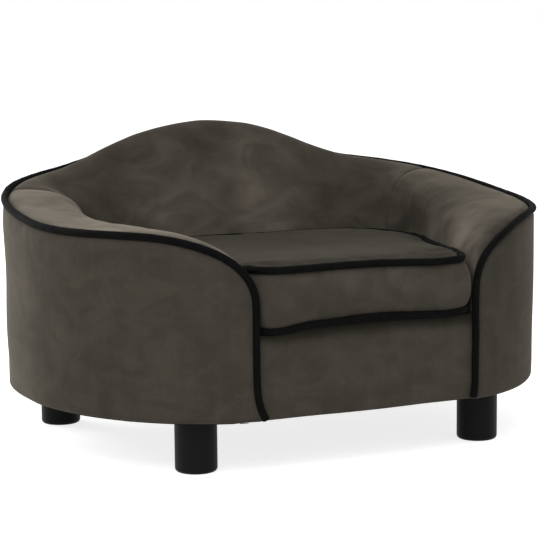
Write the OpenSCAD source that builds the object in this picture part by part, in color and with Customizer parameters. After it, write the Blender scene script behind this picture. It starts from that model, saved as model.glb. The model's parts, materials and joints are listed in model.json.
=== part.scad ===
// Small dog sofa bed: a padded horseshoe wall round a seat deck, on four round
// legs, with a loose seat cushion that lifts out. The origin is on the floor
// under the middle of the sofa, +X is to the right seen from the front, and +Y
// points to the back.

/* [Body] */
// Width of the upholstered wall
body_w = 690; // [660:5:740]
// Depth of the upholstered wall
body_d = 498; // [460:1:530]
// Height of the underside above the floor
leg_h = 66; // [40:1:85]
// Height of the welt along the arms
arm_h = 289; // [280:1:310]
// Height of the welt at the middle of the back
back_h = 378; // [350:1:420]
// Distance of each front seam from the middle
seam_x = 150; // [142:1:160]
// How far the foot of each front seam turns in
seam_turn = 7.5; // [0:0.5:9]
// Half the straight length of the front
front_flat = 134; // [120:1:140]
// Half the straight length of the back
back_flat = 77; // [60:1:100]
// Height at which the front seam turns out over the arm
roll_h = 203; // [190:1:210]
// Length of wall along which the welt climbs from the seam to the arm
roll_l = 164; // [120:1:180]
// Radius of the cover's bottom edge
edge_r = 6.5; // [6:0.5:9]
// How far the front panel stands back from the arms' fronts
front_set = 7; // [5:0.5:10]

/* [Padding] */
// Thickness of each arm at the seat
arm_t = 123; // [110:1:130]
// Thickness of the back at the seat
back_t = 84; // [70:1:95]
// Straight depth of the seat's sides
side_d = 241; // [220:1:255]
// Height of the upright padding round the cushion
well_h = 60; // [50:1:70]
// Width of the padded roll beside the welt along the arms
crest_w = 13; // [8:0.5:16]
// Width of the padded roll beside the welt along the back
crest_back_w = 7; // [6:0.5:12]
// Rise of the padding above the welt along the arms
arm_rise = 4.5; // [2:0.5:6]
// Rise of the padding above the welt along the back
back_rise = 15; // [9:0.5:18]

/* [Cushion] */
// Height of the seat deck above the floor
deck_h = 175; // [165:1:185]
// Height of the cushion between its two welts
cushion_h = 66; // [50:1:75]
// Rise of the cushion's top in the middle
crown_h = 7; // [4:0.5:12]
// How far the cushion's sides are drawn in along the front
draw_in = 3; // [1:0.5:5]
// Swell of the cushion's side panel
swell = 1.5; // [1:0.25:2]
// Space between the cushion and the arms
side_gap = 1.5; // [1:0.25:3]
// Space between the cushion and the back
rear_gap = 6; // [5.5:0.5:9]
// How far the cushion's welt stands ahead of the arms' fronts
overhang = 1; // [0:0.5:3]
// Radius of the cushion's front corners
corner_r = 18; // [12:1:25]

/* [Sheets and boards] */
// Thickness of the velvet covers
cover_t = 2; // [1.5:0.1:2.5]
// Diameter of the welt cords
welt_d = 9; // [7:0.5:9.5]
// Thickness of the bent plywood wall
ply_t = 5; // [4:0.5:6]
// Thickness of the base board
base_t = 15; // [12:0.5:18]
// Height of the base board's narrower lower step
step_h = 6.5; // [5:0.5:8]
// Thickness of the seat deck
deck_t = 9; // [8:0.5:12]
// Thickness of the dust cover underneath
dust_t = 1; // [0.6:0.1:1.2]
// Thickness of the front rail
rail_t = 15; // [12:0.5:18]
// Thickness of the padding on the front rail
pad_t = 6; // [4:0.5:8]
// Width of the posts under the seat
post_w = 30; // [26:1:36]
// Width of the beams under the seat
beam_w = 20; // [18:1:26]
// Height of the beams under the seat
beam_h = 30; // [24:1:36]
// Width of the covers' turned-under edges
flange_w = 14; // [13:0.5:16]

/* [Legs] */
// Diameter of each leg
leg_d = 51.6; // [46:0.2:56]
// Distance of the front legs from the sides
leg_front_side = 148; // [140:1:160]
// Distance of the front legs from the front
leg_front_in = 76; // [68:1:85]
// Distance of the rear legs from the sides
leg_rear_side = 105; // [100:1:125]
// Distance of the rear legs from the back
leg_rear_in = 72; // [66:1:80]
// Radius of the rounding round each foot
foot_r = 5; // [2:0.5:8]
// Diameter of the threaded leg studs
stud_d = 8; // [6:0.5:10]
// Depth of each stud in its leg
stud_deep = 24; // [18:1:30]
// Diameter of the nuts' flanges
nut_flange_d = 22; // [18:1:26]
// Thickness of the nuts' flanges
nut_flange_t = 1.5; // [1:0.1:2]
// Wall of the nuts' barrels
nut_wall = 1.25; // [1:0.05:1.6]
// Length of the nuts' barrels
nut_l = 10; // [8:0.5:11]

/* [Screws and staples] */
// Diameter of the frame screws
screw_d = 4; // [3:0.5:5]
// Length of the frame screws
screw_l = 32; // [28:1:36]
// Diameter of the screw heads
screw_head_d = 8; // [6.5:0.5:9]
// Height of the screw heads
screw_head_h = 3; // [2:0.5:3.5]
// Width of the staples
staple_w = 10; // [8:0.5:12]
// Length of the staples' legs
staple_l = 9; // [8:0.5:10]
// Thickness of the staples' wire
staple_t = 0.7; // [0.6:0.1:1]
// Number of staples along each side
staple_n = 12; // [8:1:16]

/* [Zip] */
// Length of the zip in the cushion's rear panel
zip_l = 190; // [160:5:200]
// Width of the zip's tape
tape_w = 24; // [20:1:28]
// Thickness of the zip's tape
tape_t = 0.8; // [0.6:0.1:1]
// Spacing of the zip's teeth
tooth_pitch = 4; // [3:0.5:5]
// Height of a tooth along the zip's width
tooth_w = 5; // [4:0.5:6]
// Thickness of a tooth
tooth_t = 1.4; // [1.2:0.1:1.6]
// Length of the slider
slider_l = 11; // [9:0.5:13]
// Width of the slider
slider_w = 9; // [8:0.5:10]
// Thickness of the slider's plate
slider_t = 1.2; // [1:0.1:1.4]
// Length of the slider's pull
pull_l = 17; // [14:0.5:20]
// Width of the slider's pull
pull_w = 6; // [5:0.5:7]
// Thickness of the slider's pull
pull_t = 0.9; // [0.8:0.1:1]

/* [Hidden] */

// Colours of the finishes
velvet = [0.26, 0.24, 0.21];
velvet_inside = [0.30, 0.28, 0.25];
welt_black = [0.07, 0.07, 0.07];
foam_cream = [0.93, 0.89, 0.74];
ply_tan = [0.80, 0.66, 0.45];
pine = [0.85, 0.72, 0.50];
steel = [0.70, 0.71, 0.73];

// Fits: the rest gap between pieces, the play round a shank, the overrun of a cut
gap = 0.3;
hole_play = 0.05;
overrun = 2;

// Smoothness of turned pieces, welt cords and sections
round_n = 64;
hole_n = 32;
welt_sides = 8;
cushion_welt_sides = 6;
station_n = 30;
plan_n = 90;
bend_n = 7;

// Mixing of two values and a smooth step between 0 and 1
function mix(a, b, t) = a + (b - a) * t;
function clamp(t) = max(0, min(1, t));
function smooth(t) = let (c = clamp(t)) c * c * (3 - 2 * c);
function unit(v) = v / norm(v);
function turned(v) = [-v[1], v[0]];
function bezier(a, b, c, d, t) =
    pow(1 - t, 3) * a + 3 * t * pow(1 - t, 2) * b + 3 * t * t * (1 - t) * c + pow(t, 3) * d;
function run(p) = [for (i = 0, s = 0; i < len(p);
    s = s + (i + 1 < len(p) ? norm(p[i + 1] - p[i]) : 0), i = i + 1) s];
function table(u, p, axis) = [for (i = [0 : len(p) - 1]) [u[i], p[i][axis]]];
function mirrored(rows) = [for (i = [len(rows) - 1 : -1 : 0])
    [for (p = rows[i]) [-p[0], p[1], p[2]]]];
function both_sides(r) = concat(r, mirrored([for (i = [0 : len(r) - 2]) r[i]]));

// The whole outline is centred on the origin, from the cushion's welt to the back's
welt_r = welt_d / 2;
welt_in_share = 0.375;
welt_in = welt_r * welt_in_share;
front_reach = max(overhang + welt_r, welt_r - welt_in);
back_reach = welt_r - welt_in;
front_y = (front_reach - back_reach) / 2 - body_d / 2;
back_y = (front_reach - back_reach) / 2 + body_d / 2;
mid_y = (front_y + back_y) / 2;
half_w = body_w / 2;

// Outline of the wall, from the middle of the front to the middle of the back
front_round_share = 1.074;
back_round_share = 0.72;
plan = concat(
    [[0, front_y]],
    [for (i = [0 : plan_n]) let (a = 90 * i / plan_n) [
        front_flat + (half_w - front_flat) * pow(sin(a), front_round_share),
        mid_y + (front_y - mid_y) * pow(cos(a), front_round_share)]],
    [for (i = [1 : plan_n]) let (a = 90 * i / plan_n) [
        back_flat + (half_w - back_flat) * pow(cos(a), back_round_share),
        mid_y + (back_y - mid_y) * pow(sin(a), back_round_share)]],
    [[0, back_y]]);
plan_run = run(plan);
half_l = plan_run[len(plan) - 1];
plan_x = table(plan_run, plan, 0);
plan_y = table(plan_run, plan, 1);
sight = body_w / 120;
function wall(u) = [lookup(u, plan_x), lookup(u, plan_y)];
function inward(u) = turned(unit(wall(u + sight) - wall(u - sight)));
function inset(u, d) = wall(u) + inward(u) * d;
function share_of(u) = clamp((u - seam_x) / (half_l - seam_x));

// Outline of the seat's well, from the front seam to the middle of the back
well_start = [seam_x - welt_r, front_y];
well_side = [half_w - arm_t, front_y + side_d];
well_rear = back_y - back_t;
side_way = unit(well_side - well_start);
well_lean_share = 0.40;
well_corner_shares = [0.92, 0.50];
well_bend = [for (i = [1 : plan_n]) bezier(
    well_side,
    well_side + side_way * side_d * well_lean_share,
    [well_side[0] * well_corner_shares[0], well_rear],
    [well_side[0] * well_corner_shares[1], well_rear], i / plan_n)];
well = concat([well_start, well_side], well_bend, [[0, well_rear]]);
well_run = run(well);
well_l = well_run[len(well) - 1];
well_x = table(well_run, well, 0);
well_y = table(well_run, well, 1);
function well_at(l) = [lookup(l, well_x), lookup(l, well_y)];
function well_in(l) = turned(unit(well_at(l + sight) - well_at(l - sight)));

// The well's point that faces a point of the wall: it runs ahead at the front
lead_share = 0.11;
lead_end_share = 0.70;
lead_start_share = 0.04;
function facing(u) = let (s = share_of(u)) well_at(well_l * (s
    + lead_share * max(0, 1 - s / lead_end_share) * (1 - exp(-s / lead_start_share))));

// Height of the welt along the wall: it climbs over the arm, then to the hump
roll_power = 2.3;
tail_power = 1.75;
tail_share = 0.59;
tail_end_share = 0.895;
hump_start_share = 0.61;
arm_end_share = 0.284;
function climb(u) = let (s = clamp((u - seam_x) / roll_l))
    roll_h + (arm_h - roll_h) * pow(1 - pow(1 - s, roll_power), 1 / roll_power);
function back_share(u) = clamp((share_of(u) - arm_end_share) / (1 - arm_end_share));
function rise_share(s) = tail_share * pow(sin(90 * clamp(s / tail_end_share)), tail_power)
    + (1 - tail_share) * (1 - cos(180 * clamp((s - hump_start_share) / (1 - hump_start_share)))) / 2;
function rim(u) = climb(u) + (back_h - arm_h) * rise_share(back_share(u));

// Stations along the wall, close together where the welt climbs. Every layer uses
// them, so the facets of the layers stay parallel.
station_power = 1.5;
cover_edge = welt_r + gap;
cover_start = seam_x + cover_edge;
stations = [for (i = [0 : station_n]) mix(cover_start, half_l, pow(i / station_n, station_power))];
pad_first = 1;
shell_first = 2;
pad_split_share = 0.7;
pad_split = round(pad_split_share * station_n);
arm_stations = [for (i = [pad_first : pad_split]) stations[i] - (i == pad_split ? gap / 2 : 0)];
back_stations = [for (i = [pad_split : station_n]) stations[i] + (i == pad_split ? gap / 2 : 0)];

// Height of the line that stays a given distance under the welt's middle
welt_steps = 12;
welt_line = concat([[seam_x, roll_h]], [for (u = stations) [u, rim(u)]]);
function under_welt(u, r) = min([for (k = [-welt_steps : welt_steps]) let (
    v = max(seam_x, u + r * k / welt_steps))
    lookup(v, welt_line) - sqrt(max(0, r * r - (v - u) * (v - u)))]);

// A chain is a row of [distance inwards, height] points; this moves it to its right
function shifted(c, t) = let (n = len(c) - 1) [for (i = [0 : n]) let (
    before = i > 0 ? unit(c[i] - c[i - 1]) : unit(c[1] - c[0]),
    after = i < n ? unit(c[i + 1] - c[i]) : unit(c[n] - c[n - 1]),
    m = unit(turned(before) + turned(after)))
    c[i] - m * t / (m * turned(before))];

// Places a chain at a station: square to the wall, or from beside the welt
// towards the facing point of the well
pad_in = welt_in + cover_edge;
function across(u) = unit(facing(u) - inset(u, pad_in));
function pad_width(u) = norm(facing(u) - inset(u, pad_in));
function square_chain(u, c) = [for (p = c) let (w = inset(u, p[0])) [w[0], w[1], p[1]]];
function pad_chain(u, c) = [for (p = c) let (w = inset(u, pad_in) + across(u) * p[0]) [w[0], w[1], p[1]]];

// Solid between two sheets of points, one row per station and one column per chain point
module between(a, b, closed = false) {
    rows = len(a);
    cols = len(a[0]);
    total = rows * cols;
    last = closed ? rows - 1 : rows - 2;
    function at(i, k) = (i % rows) * cols + k;
    points = concat([for (r = a) for (p = r) p], [for (r = b) for (p = r) p]);
    sheets = [for (i = [0 : last]) for (k = [0 : cols - 2]) let (
        p = at(i, k), q = at(i + 1, k), r = at(i + 1, k + 1), s = at(i, k + 1))
        each [[p, s, r], [p, r, q], [p + total, r + total, s + total], [p + total, q + total, r + total]]];
    edges = [for (i = [0 : last]) let (
        p = at(i, 0), q = at(i + 1, 0), r = at(i + 1, cols - 1), s = at(i, cols - 1))
        each [[p, q, q + total], [p, q + total, p + total], [s, r + total, r], [s, s + total, r + total]]];
    ends = closed ? [] : [for (k = [0 : cols - 2]) let (
        p = at(0, k), s = at(0, k + 1), q = at(rows - 1, k), r = at(rows - 1, k + 1))
        each [[p, s + total, s], [p, p + total, s + total], [q, r, r + total], [q, r + total, q + total]]];
    polyhedron(points, concat(sheets, edges, ends));
}

// Round cord along a path; sideways gives the direction of each ring's first point
module cord(path, sideways, r, sides, closed = false) {
    n = len(path);
    function way(i) = unit(path[closed ? (i + 1) % n : min(n - 1, i + 1)]
        - path[closed ? (i + n - 1) % n : max(0, i - 1)]);
    rings = [for (i = [0 : n - 1]) let (
        t = way(i), s = unit(sideways[i] - t * (sideways[i] * t)), b = cross(t, s))
        for (k = [0 : sides - 1]) let (a = 360 * k / sides) path[i] + (s * cos(a) + b * sin(a)) * r];
    function at(i, k) = (i % n) * sides + k % sides;
    skin = [for (i = [0 : closed ? n - 1 : n - 2]) for (k = [0 : sides - 1])
        each [[at(i, k), at(i + 1, k), at(i + 1, k + 1)], [at(i, k), at(i + 1, k + 1), at(i, k + 1)]]];
    ends = closed ? [] : [for (k = [1 : sides - 2])
        each [[at(0, 0), at(0, k), at(0, k + 1)], [at(n - 1, 0), at(n - 1, k + 1), at(n - 1, k)]]];
    polyhedron(rings, concat(skin, ends));
}

// Levels of the layers under the seat and of the base
flange_z = leg_h + dust_t + gap;
base_z = flange_z + cover_t + gap;
base_top = base_z + base_t;
cloth_z = deck_h - cover_t;
deck_z = cloth_z - gap - deck_t;
beam_z = deck_z - gap - beam_h;
shell_in = cover_t + gap;
frame_in = shell_in + ply_t + gap;
rail_y = front_y + front_set + cover_t + gap + pad_t + gap;

// Outlines for flat boards: the wall's plan moved in, and the well's plan moved in
function loop_of(half) = concat(half, [for (i = [len(half) - 2 : -1 : 1]) [-half[i][0], half[i][1]]]);
function board_outline(d) = loop_of(concat(
    [for (u = [0, front_flat, seam_x]) inset(u, d)],
    [for (i = [shell_first : station_n]) inset(stations[i], d)]));
function well_outline(d) = loop_of(concat(
    [[0, front_y], [facing(stations[pad_first])[0] - d, front_y]],
    [for (i = [pad_first : station_n]) let (u = stations[i]) facing(u) + across(u) * d]));

module board(d, z, t) {
    translate([0, 0, z]) linear_extrude(height = t) polygon(board_outline(d));
}

// Keeps what lies behind a line across the front
module behind(y) {
    intersection() {
        children();
        translate([-body_w, y, 0]) cube([2 * body_w, 2 * body_d, back_h]);
    }
}

// Places of the legs, posts and screws
leg_places = [
    [leg_front_side - half_w, front_y + leg_front_in], [half_w - leg_front_side, front_y + leg_front_in],
    [leg_rear_side - half_w, back_y - leg_rear_in], [half_w - leg_rear_side, back_y - leg_rear_in]];
beam_ys = [rail_y + rail_t + gap + beam_w / 2, mid_y, back_y - leg_rear_in];
beam_half_shares = [0.60, 0.94, 0.74];
beam_halves = [for (s = beam_half_shares) s * half_w];
post_reach_shares = [0.70, 0.86, 0.62];
post_xs = [for (i = [0 : 2]) beam_halves[i] * post_reach_shares[i]];
post_ys = [beam_ys[0] + (post_w - beam_w) / 2, beam_ys[1], beam_ys[2]];
screw_xs = [for (i = [0 : 2]) each [[-post_xs[i], beam_ys[i]], [0, beam_ys[i]], [post_xs[i], beam_ys[i]]]];
post_places = [for (i = [0 : 2]) for (side = [-1, 1]) [side * post_xs[i], post_ys[i]]];

module screw() {
    cylinder(d = screw_head_d, h = screw_head_h, $fn = hole_n);
    cylinder(d = screw_d, h = screw_l, $fn = hole_n);
}

module screw_hole() {
    translate([0, 0, -overrun]) cylinder(d = screw_head_d + 2 * hole_play,
        h = screw_head_h + overrun, $fn = hole_n);
    cylinder(d = screw_d + 2 * hole_play, h = screw_l + gap, $fn = hole_n);
}

module deck_screw_places() {
    for (p = screw_xs) translate([p[0], p[1], cloth_z - gap]) mirror([0, 0, 1]) children();
}

module post_screw_places() {
    for (p = post_places) translate([p[0], p[1], base_z]) children();
}

// Plywood base with holes for the leg nuts and the post screws
module base_board() {
    color(ply_tan) difference() {
        behind(rail_y) union() {
            board(edge_r + gap, base_z, step_h);
            board(frame_in, base_z + step_h, base_t - step_h);
        }
        for (p = leg_places) translate([p[0], p[1], base_z - overrun])
            cylinder(d = stud_d + 2 * nut_wall + 4 * hole_play, h = base_t + 2 * overrun, $fn = round_n);
        post_screw_places() screw_hole();
    }
}

// Bent plywood wall that stands round the base
module wall_shell() {
    low = base_z + step_h;
    function half(d) = [for (i = [shell_first : station_n]) let (u = stations[i])
        square_chain(u, [[d, low], [d, under_welt(u, cover_edge) - cover_t]])];
    color(ply_tan) between(both_sides(half(shell_in)), both_sides(half(shell_in + ply_t)));
}

// Upright board behind the front panel
module front_rail() {
    w = 2 * (seam_x - post_w / 2);
    color(pine) translate([-w / 2, rail_y, base_top]) cube([w, rail_t, deck_z - gap - base_top]);
}

// Blocks that carry the seat beams
module frame_posts() {
    color(pine) difference() {
        for (p = post_places) translate([p[0] - post_w / 2, p[1] - post_w / 2, base_top])
            cube([post_w, post_w, beam_z - base_top]);
        post_screw_places() screw_hole();
    }
}

module deck_beam(i) {
    color(pine) difference() {
        translate([-beam_halves[i], beam_ys[i] - beam_w / 2, beam_z])
            cube([2 * beam_halves[i], beam_w, beam_h]);
        deck_screw_places() screw_hole();
    }
}
module deck_beam_front() { deck_beam(0); }
module deck_beam_middle() { deck_beam(1); }
module deck_beam_rear() { deck_beam(2); }

// Plywood seat deck, carried by the beams and the front rail
module seat_deck() {
    color(ply_tan) difference() {
        behind(rail_y) board(frame_in, deck_z, deck_t);
        deck_screw_places() screw_hole();
    }
}

module deck_screws() { color(steel) deck_screw_places() screw(); }
module post_screws() { color(steel) post_screw_places() screw(); }

// How far the seam has turned in at a height, from 0 at half height to 1 at the foot
seam_mid = (leg_h + roll_h) / 2;
function seam_bend(z) = pow(clamp((seam_mid - z) / (seam_mid - leg_h)), 2);

// Chain of the outer covers: flange, rounded bottom edge, upright, up to the top
seam_levels = [for (i = [1 : 3]) mix(flange_z + edge_r, seam_mid, i / 3)];
edge_chain = concat(
    [[flange_w, flange_z]],
    [for (a = [0 : 30 : 90]) [edge_r * (1 - sin(a)), flange_z + edge_r * (1 - cos(a))]]);
function cover_chain(top) = concat(edge_chain, [for (z = seam_levels) [0, z]], [[0, top]]);

// Velvet round the outside of the arms and the back, in one piece
module outer_cover() {
    function chain(u) = cover_chain(under_welt(u, cover_edge));
    // the first stations follow the seam's foot as it turns in
    function lean(u, z) = u - seam_turn * seam_bend(z)
        * clamp((stations[shell_first] - u) / (stations[shell_first] - cover_start));
    function row(u, c) = [for (p = c) let (w = inset(lean(u, p[1]), p[0])) [w[0], w[1], p[1]]];
    function half(t) = [for (u = stations) row(u, shifted(chain(u), t))];
    color(velvet) between(both_sides(half(0)), both_sides(half(cover_t)));
}

// Foam layer and cover of the front panel
function panel_half(z) = seam_x - welt_r - gap - seam_turn * seam_bend(z);
module front_pad() {
    w = 2 * (panel_half(leg_h) - cover_t);
    y = front_y + front_set + cover_t + gap;
    low = flange_z + edge_r;
    color(foam_cream) translate([-w / 2, y, low]) cube([w, pad_t, deck_z + deck_t - low]);
}

module front_cover() {
    y = front_y + front_set;
    top = deck_h;
    tuck = cover_t + gap + pad_t + gap + rail_t;
    lip_r = cover_t + gap;
    chain = concat(cover_chain(top - lip_r),
        [for (a = [45, 90]) [lip_r * (1 - cos(a)), top - lip_r * (1 - sin(a))]], [[tuck, top]]);
    function row(c, side) = [for (p = c) [side * panel_half(p[1]), y + p[0], p[1]]];
    function rows(c) = [row(c, -1), row(c, 1)];
    color(velvet) between(rows(chain), rows(shifted(chain, cover_t)));
}

// Section of the padding: up beside the welt, over the roll and down to the deck.
// The arms have a broad top, narrower at the front; the back leans from a slim crest.
arm_top_shares = [0.30, 0.84];
arm_top_l = 230;
arm_hand_share = 0.06;
arm_drop_shares = [0.40, 0.85];
back_top_share = 0.45;
back_hand_share = 0.12;
back_drop_share = 0.50;
turn_start_share = 0.554;
turn_end_share = 0.655;
crest_start_share = 0.72;
crest_end_share = 0.873;
arm_swell_share = 0.5;
roll_shares = [0.4, 0.75];
well_top = deck_h + well_h;
side_slope = 0.5;
function pad_section(u) = let (
    t = pad_width(u), s = share_of(u), h = rim(u),
    size = clamp(t / (3 * crest_w)),
    climbed = smooth((s - crest_start_share) / (crest_end_share - crest_start_share)),
    crest_d = mix(crest_w, crest_back_w, climbed) * size,
    crest_h = h + mix(arm_rise, back_rise, climbed) * size,
    foot_h = min(well_top, h - side_slope * (t - crest_d)),
    fade = smooth((u - seam_x) / arm_top_l),
    turn = smooth((s - turn_start_share) / (turn_end_share - turn_start_share)),
    top_share = mix(mix(arm_top_shares[0], arm_top_shares[1], fade), back_top_share, turn),
    hand_share = mix(arm_hand_share, back_hand_share, turn),
    drop_share = mix(mix(arm_drop_shares[0], arm_drop_shares[1], fade), back_drop_share, turn),
    a = [crest_d, crest_h],
    d = [t, foot_h],
    b = a + [top_share * (t - crest_d), arm_rise * arm_swell_share * size * (1 - turn)],
    c = d + [-hand_share * (t - crest_d), drop_share * (h - foot_h)])
    concat(
        [[0, under_welt(u, cover_edge)], [crest_d * roll_shares[0], mix(h, crest_h, roll_shares[1])]],
        [for (i = [0 : bend_n]) bezier(a, b, c, d, i / bend_n)],
        [[t, (cloth_z + foot_h) / 2], [t, cloth_z]]);

function cover_row(u) = pad_chain(u, pad_section(u));
function lining_row(u) = pad_chain(u, shifted(pad_section(u), cover_t));
function foam_row(u) = pad_chain(u, shifted(pad_section(u), cover_t + gap));
function core_row(u) = let (c = shifted(pad_section(u), cover_t + gap), n = len(c) - 1)
    square_chain(u, [for (k = [0 : n]) [frame_in, mix(c[0][1], c[n][1], k / n)]]);

module arm_cover() {
    color(velvet_inside) between(
        [for (u = arm_stations) cover_row(u)],
        [for (u = arm_stations) lining_row(u)]);
}
module arm_foam() {
    color(foam_cream) between([for (u = arm_stations) foam_row(u)], [for (u = arm_stations) core_row(u)]);
}
module right_arm_cover() { arm_cover(); }
module left_arm_cover() { mirror([1, 0, 0]) arm_cover(); }
module right_arm_foam() { arm_foam(); }
module left_arm_foam() { mirror([1, 0, 0]) arm_foam(); }

module back_inner_cover() {
    color(velvet_inside) between(
        both_sides([for (u = back_stations) cover_row(u)]),
        both_sides([for (u = back_stations) lining_row(u)]));
}
module back_foam() {
    color(foam_cream) between(
        both_sides([for (u = back_stations) foam_row(u)]),
        both_sides([for (u = back_stations) core_row(u)]));
}

// Cloth on the seat deck, between the arms and the back
module deck_cloth() {
    tuck_y = front_y + front_set + cover_t + gap + pad_t + gap + rail_t + gap;
    color(velvet_inside) behind(tuck_y)
        translate([0, 0, cloth_z]) linear_extrude(height = cover_t) polygon(well_outline(gap));
}

// Welt cord along the front seams, over the arms and round the back
module edge_welt() {
    seam = [for (z = concat([flange_z, flange_z + edge_r], seam_levels))
        [seam_x - seam_turn * seam_bend(z), z]];
    half = concat(seam, welt_line);
    path = [for (p = half) let (w = inset(p[0], welt_in)) [w[0], w[1], p[1]]];
    out = [for (p = half) let (n = -inward(p[0])) [n[0], n[1], 0]];
    n = len(half) - 1;
    color(welt_black) cord(
        concat(path, [for (i = [n - 1 : -1 : 0]) [-path[i][0], path[i][1], path[i][2]]]),
        concat(out, [for (i = [n - 1 : -1 : 0]) [-out[i][0], out[i][1], 0]]),
        welt_r, welt_sides);
}

// Black cloth under the base, with round cut-outs for the legs
dust_in = edge_r + cover_t;
module dust_cover() {
    color(welt_black) difference() {
        behind(front_y + front_set + dust_in) board(dust_in, leg_h, dust_t);
        for (p = leg_places) translate([p[0], p[1], leg_h - overrun])
            cylinder(d = leg_d + 2 * gap, h = dust_t + 2 * overrun, $fn = round_n);
    }
}

// Staples that hold the dust cover and the covers' flanges to the base
staple_in = (dust_in + flange_w) / 2;
front_staple_n = 5;
module staple() {
    translate([-staple_w / 2, -staple_t / 2, -staple_t]) cube([staple_w, staple_t, staple_t]);
    for (x = [-staple_w / 2, staple_w / 2 - staple_t])
        translate([x, -staple_t / 2, -staple_t]) cube([staple_t, staple_t, staple_l]);
}
module dust_staples() {
    color(steel) for (i = [0 : front_staple_n - 1])
        translate([mix(flange_w - seam_x, seam_x - flange_w, i / (front_staple_n - 1)),
            front_y + front_set + staple_in, leg_h]) staple();
    for (side = [-1, 1]) for (i = [0 : staple_n - 1]) let (
        u = mix(seam_x + flange_w, half_l - flange_w, i / (staple_n - 1)),
        w = inset(u, staple_in), n = inward(u))
        color(steel) translate([side * w[0], w[1], leg_h]) rotate([0, 0, side * atan2(n[1], n[0]) - 90])
            staple();
}

// Threaded nuts pressed into the base from above
module t_nuts() {
    color(steel) for (p = leg_places) translate([p[0], p[1], base_top]) difference() {
        union() {
            cylinder(d = nut_flange_d, h = nut_flange_t, $fn = round_n);
            translate([0, 0, -nut_l]) cylinder(d = stud_d + 2 * nut_wall + 2 * hole_play,
                h = nut_l + nut_flange_t / 2, $fn = round_n);
        }
        translate([0, 0, -nut_l - overrun])
            cylinder(d = stud_d + 2 * hole_play, h = nut_l + nut_flange_t + 2 * overrun, $fn = round_n);
    }
}

module leg_studs() {
    color(steel) for (p = leg_places) translate([p[0], p[1], base_z - stud_deep])
        cylinder(d = stud_d, h = stud_deep + base_t + nut_flange_t, $fn = round_n);
}

// Round plastic leg: a rounded foot, and a blind hole for its stud
module leg(i) {
    p = leg_places[i];
    r = leg_d / 2;
    color(welt_black) translate([p[0], p[1], 0]) difference() {
        rotate_extrude($fn = round_n) polygon(concat([[0, 0]],
            [for (a = [0 : 15 : 90]) [r - foot_r * (1 - sin(a)), foot_r * (1 - cos(a))]],
            [[r, base_z - cover_t], [r - cover_t, base_z], [0, base_z]]));
        translate([0, 0, base_z - stud_deep])
            cylinder(d = stud_d + 2 * hole_play, h = stud_deep + overrun, $fn = round_n);
    }
}
module leg_front_left() { leg(0); }
module leg_front_right() { leg(1); }
module leg_rear_left() { leg(2); }
module leg_rear_right() { leg(3); }

// Outline of the cushion's welts: a drawn-in front, round corners, then the well's sides
cushion_in = side_gap + welt_r;
cushion_y = front_y - overhang;
cushion_rear = well_rear - rear_gap - welt_r;
cushion_mid_y = (cushion_y + cushion_rear) / 2;
function side_point(l) = let (w = well_at(l) + well_in(l) * cushion_in,
    t = clamp((w[1] - mid_y) / (well_rear - cushion_in - mid_y)))
    [w[0], w[1] - (rear_gap - side_gap) * t];
corner_l = corner_r + overhang + welt_r;
corner_end = side_point(corner_l);
corner_tip = [side_point(0)[0] - side_way[0] * overhang, cushion_y];
front_end = corner_tip - [corner_r, 0];
front_shares = [0, 0.35, 0.7];
corner_shares = [0, 0.3, 0.6];
rear_end_share = 0.45;
side_shares = [0.10, 0.19, 0.27, 0.35, 0.43, 0.51, 0.59, 0.67, 0.74, 0.80];
cushion_half = concat(
    [for (s = front_shares) [front_end[0] * s, cushion_y + draw_in * (1 - s * s)]],
    [for (t = corner_shares) pow(1 - t, 2) * front_end + 2 * t * (1 - t) * corner_tip + t * t * corner_end],
    [corner_end],
    [for (s = side_shares) side_point(mix(corner_l, well_l, s))],
    [[well_side[0] * rear_end_share, cushion_rear], [0, cushion_rear]]);
cushion_loop = loop_of(cushion_half);
loop_n = len(cushion_loop);
function loop_in(i) = turned(unit(cushion_loop[(i + 1) % loop_n] - cushion_loop[(i + loop_n - 1) % loop_n]));
function ring(i, d, z) = let (p = cushion_loop[i] + loop_in(i) * d) [p[0], p[1], z];

welt_low = deck_h + gap + welt_r;
welt_high = welt_low + cushion_h;
seam_in_share = 0.25;
seam_in = welt_r * seam_in_share;
bottom_z = deck_h + gap;
crown_shares = [[0.86, 0.62], [0.5, 0.92], [0.0, 1.0]];

// Points of a crowned sheet: rings that shrink towards the middle
function crown_row(i, d, z) = let (edge = ring(i, d, z)) concat([edge],
    [for (c = crown_shares) [edge[0] * c[0], mix(cushion_mid_y, edge[1], c[0]), z + crown_h * c[1]]]);

// Solid with the same crowned top, a flat bottom and a swelling side
module crowned(chain_rows, top_z, low_z) {
    cols = len(chain_rows[0]);
    function at(i, k) = (i % loop_n) * cols + k;
    tips = [[0, cushion_mid_y, top_z], [0, cushion_mid_y, low_z]];
    points = concat([for (r = chain_rows) for (p = r) p], tips);
    tip = loop_n * cols;
    polyhedron(points, [for (i = [0 : loop_n - 1]) each concat(
        [for (k = [0 : cols - 2]) each [
            [at(i, k), at(i, k + 1), at(i + 1, k + 1)], [at(i, k), at(i + 1, k + 1), at(i + 1, k)]]],
        [[at(i, cols - 1), tip, at(i + 1, cols - 1)], [at(i, 0), at(i + 1, 0), tip + 1]])]);
}

panel_in = seam_in + welt_r + gap;
module cushion_top() {
    // the panel's rim lies against the inner side of the welt
    n = len(crown_shares) - 1;
    function row(i) = let (top = crown_row(i, panel_in, welt_high)) concat(
        [for (k = [n : -1 : 0]) top[k] - [0, 0, cover_t]], [for (k = [0 : n]) top[k]]);
    color(velvet) crowned([for (i = [0 : loop_n - 1]) row(i)],
        welt_high + crown_h, welt_high + crown_h - cover_t);
}

module cushion_bottom() {
    half = [for (i = [0 : loop_n - 1]) let (p = ring(i, panel_in, 0)) [p[0], p[1]]];
    color(velvet) translate([0, 0, bottom_z]) linear_extrude(height = cover_t) polygon(half);
}

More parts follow.
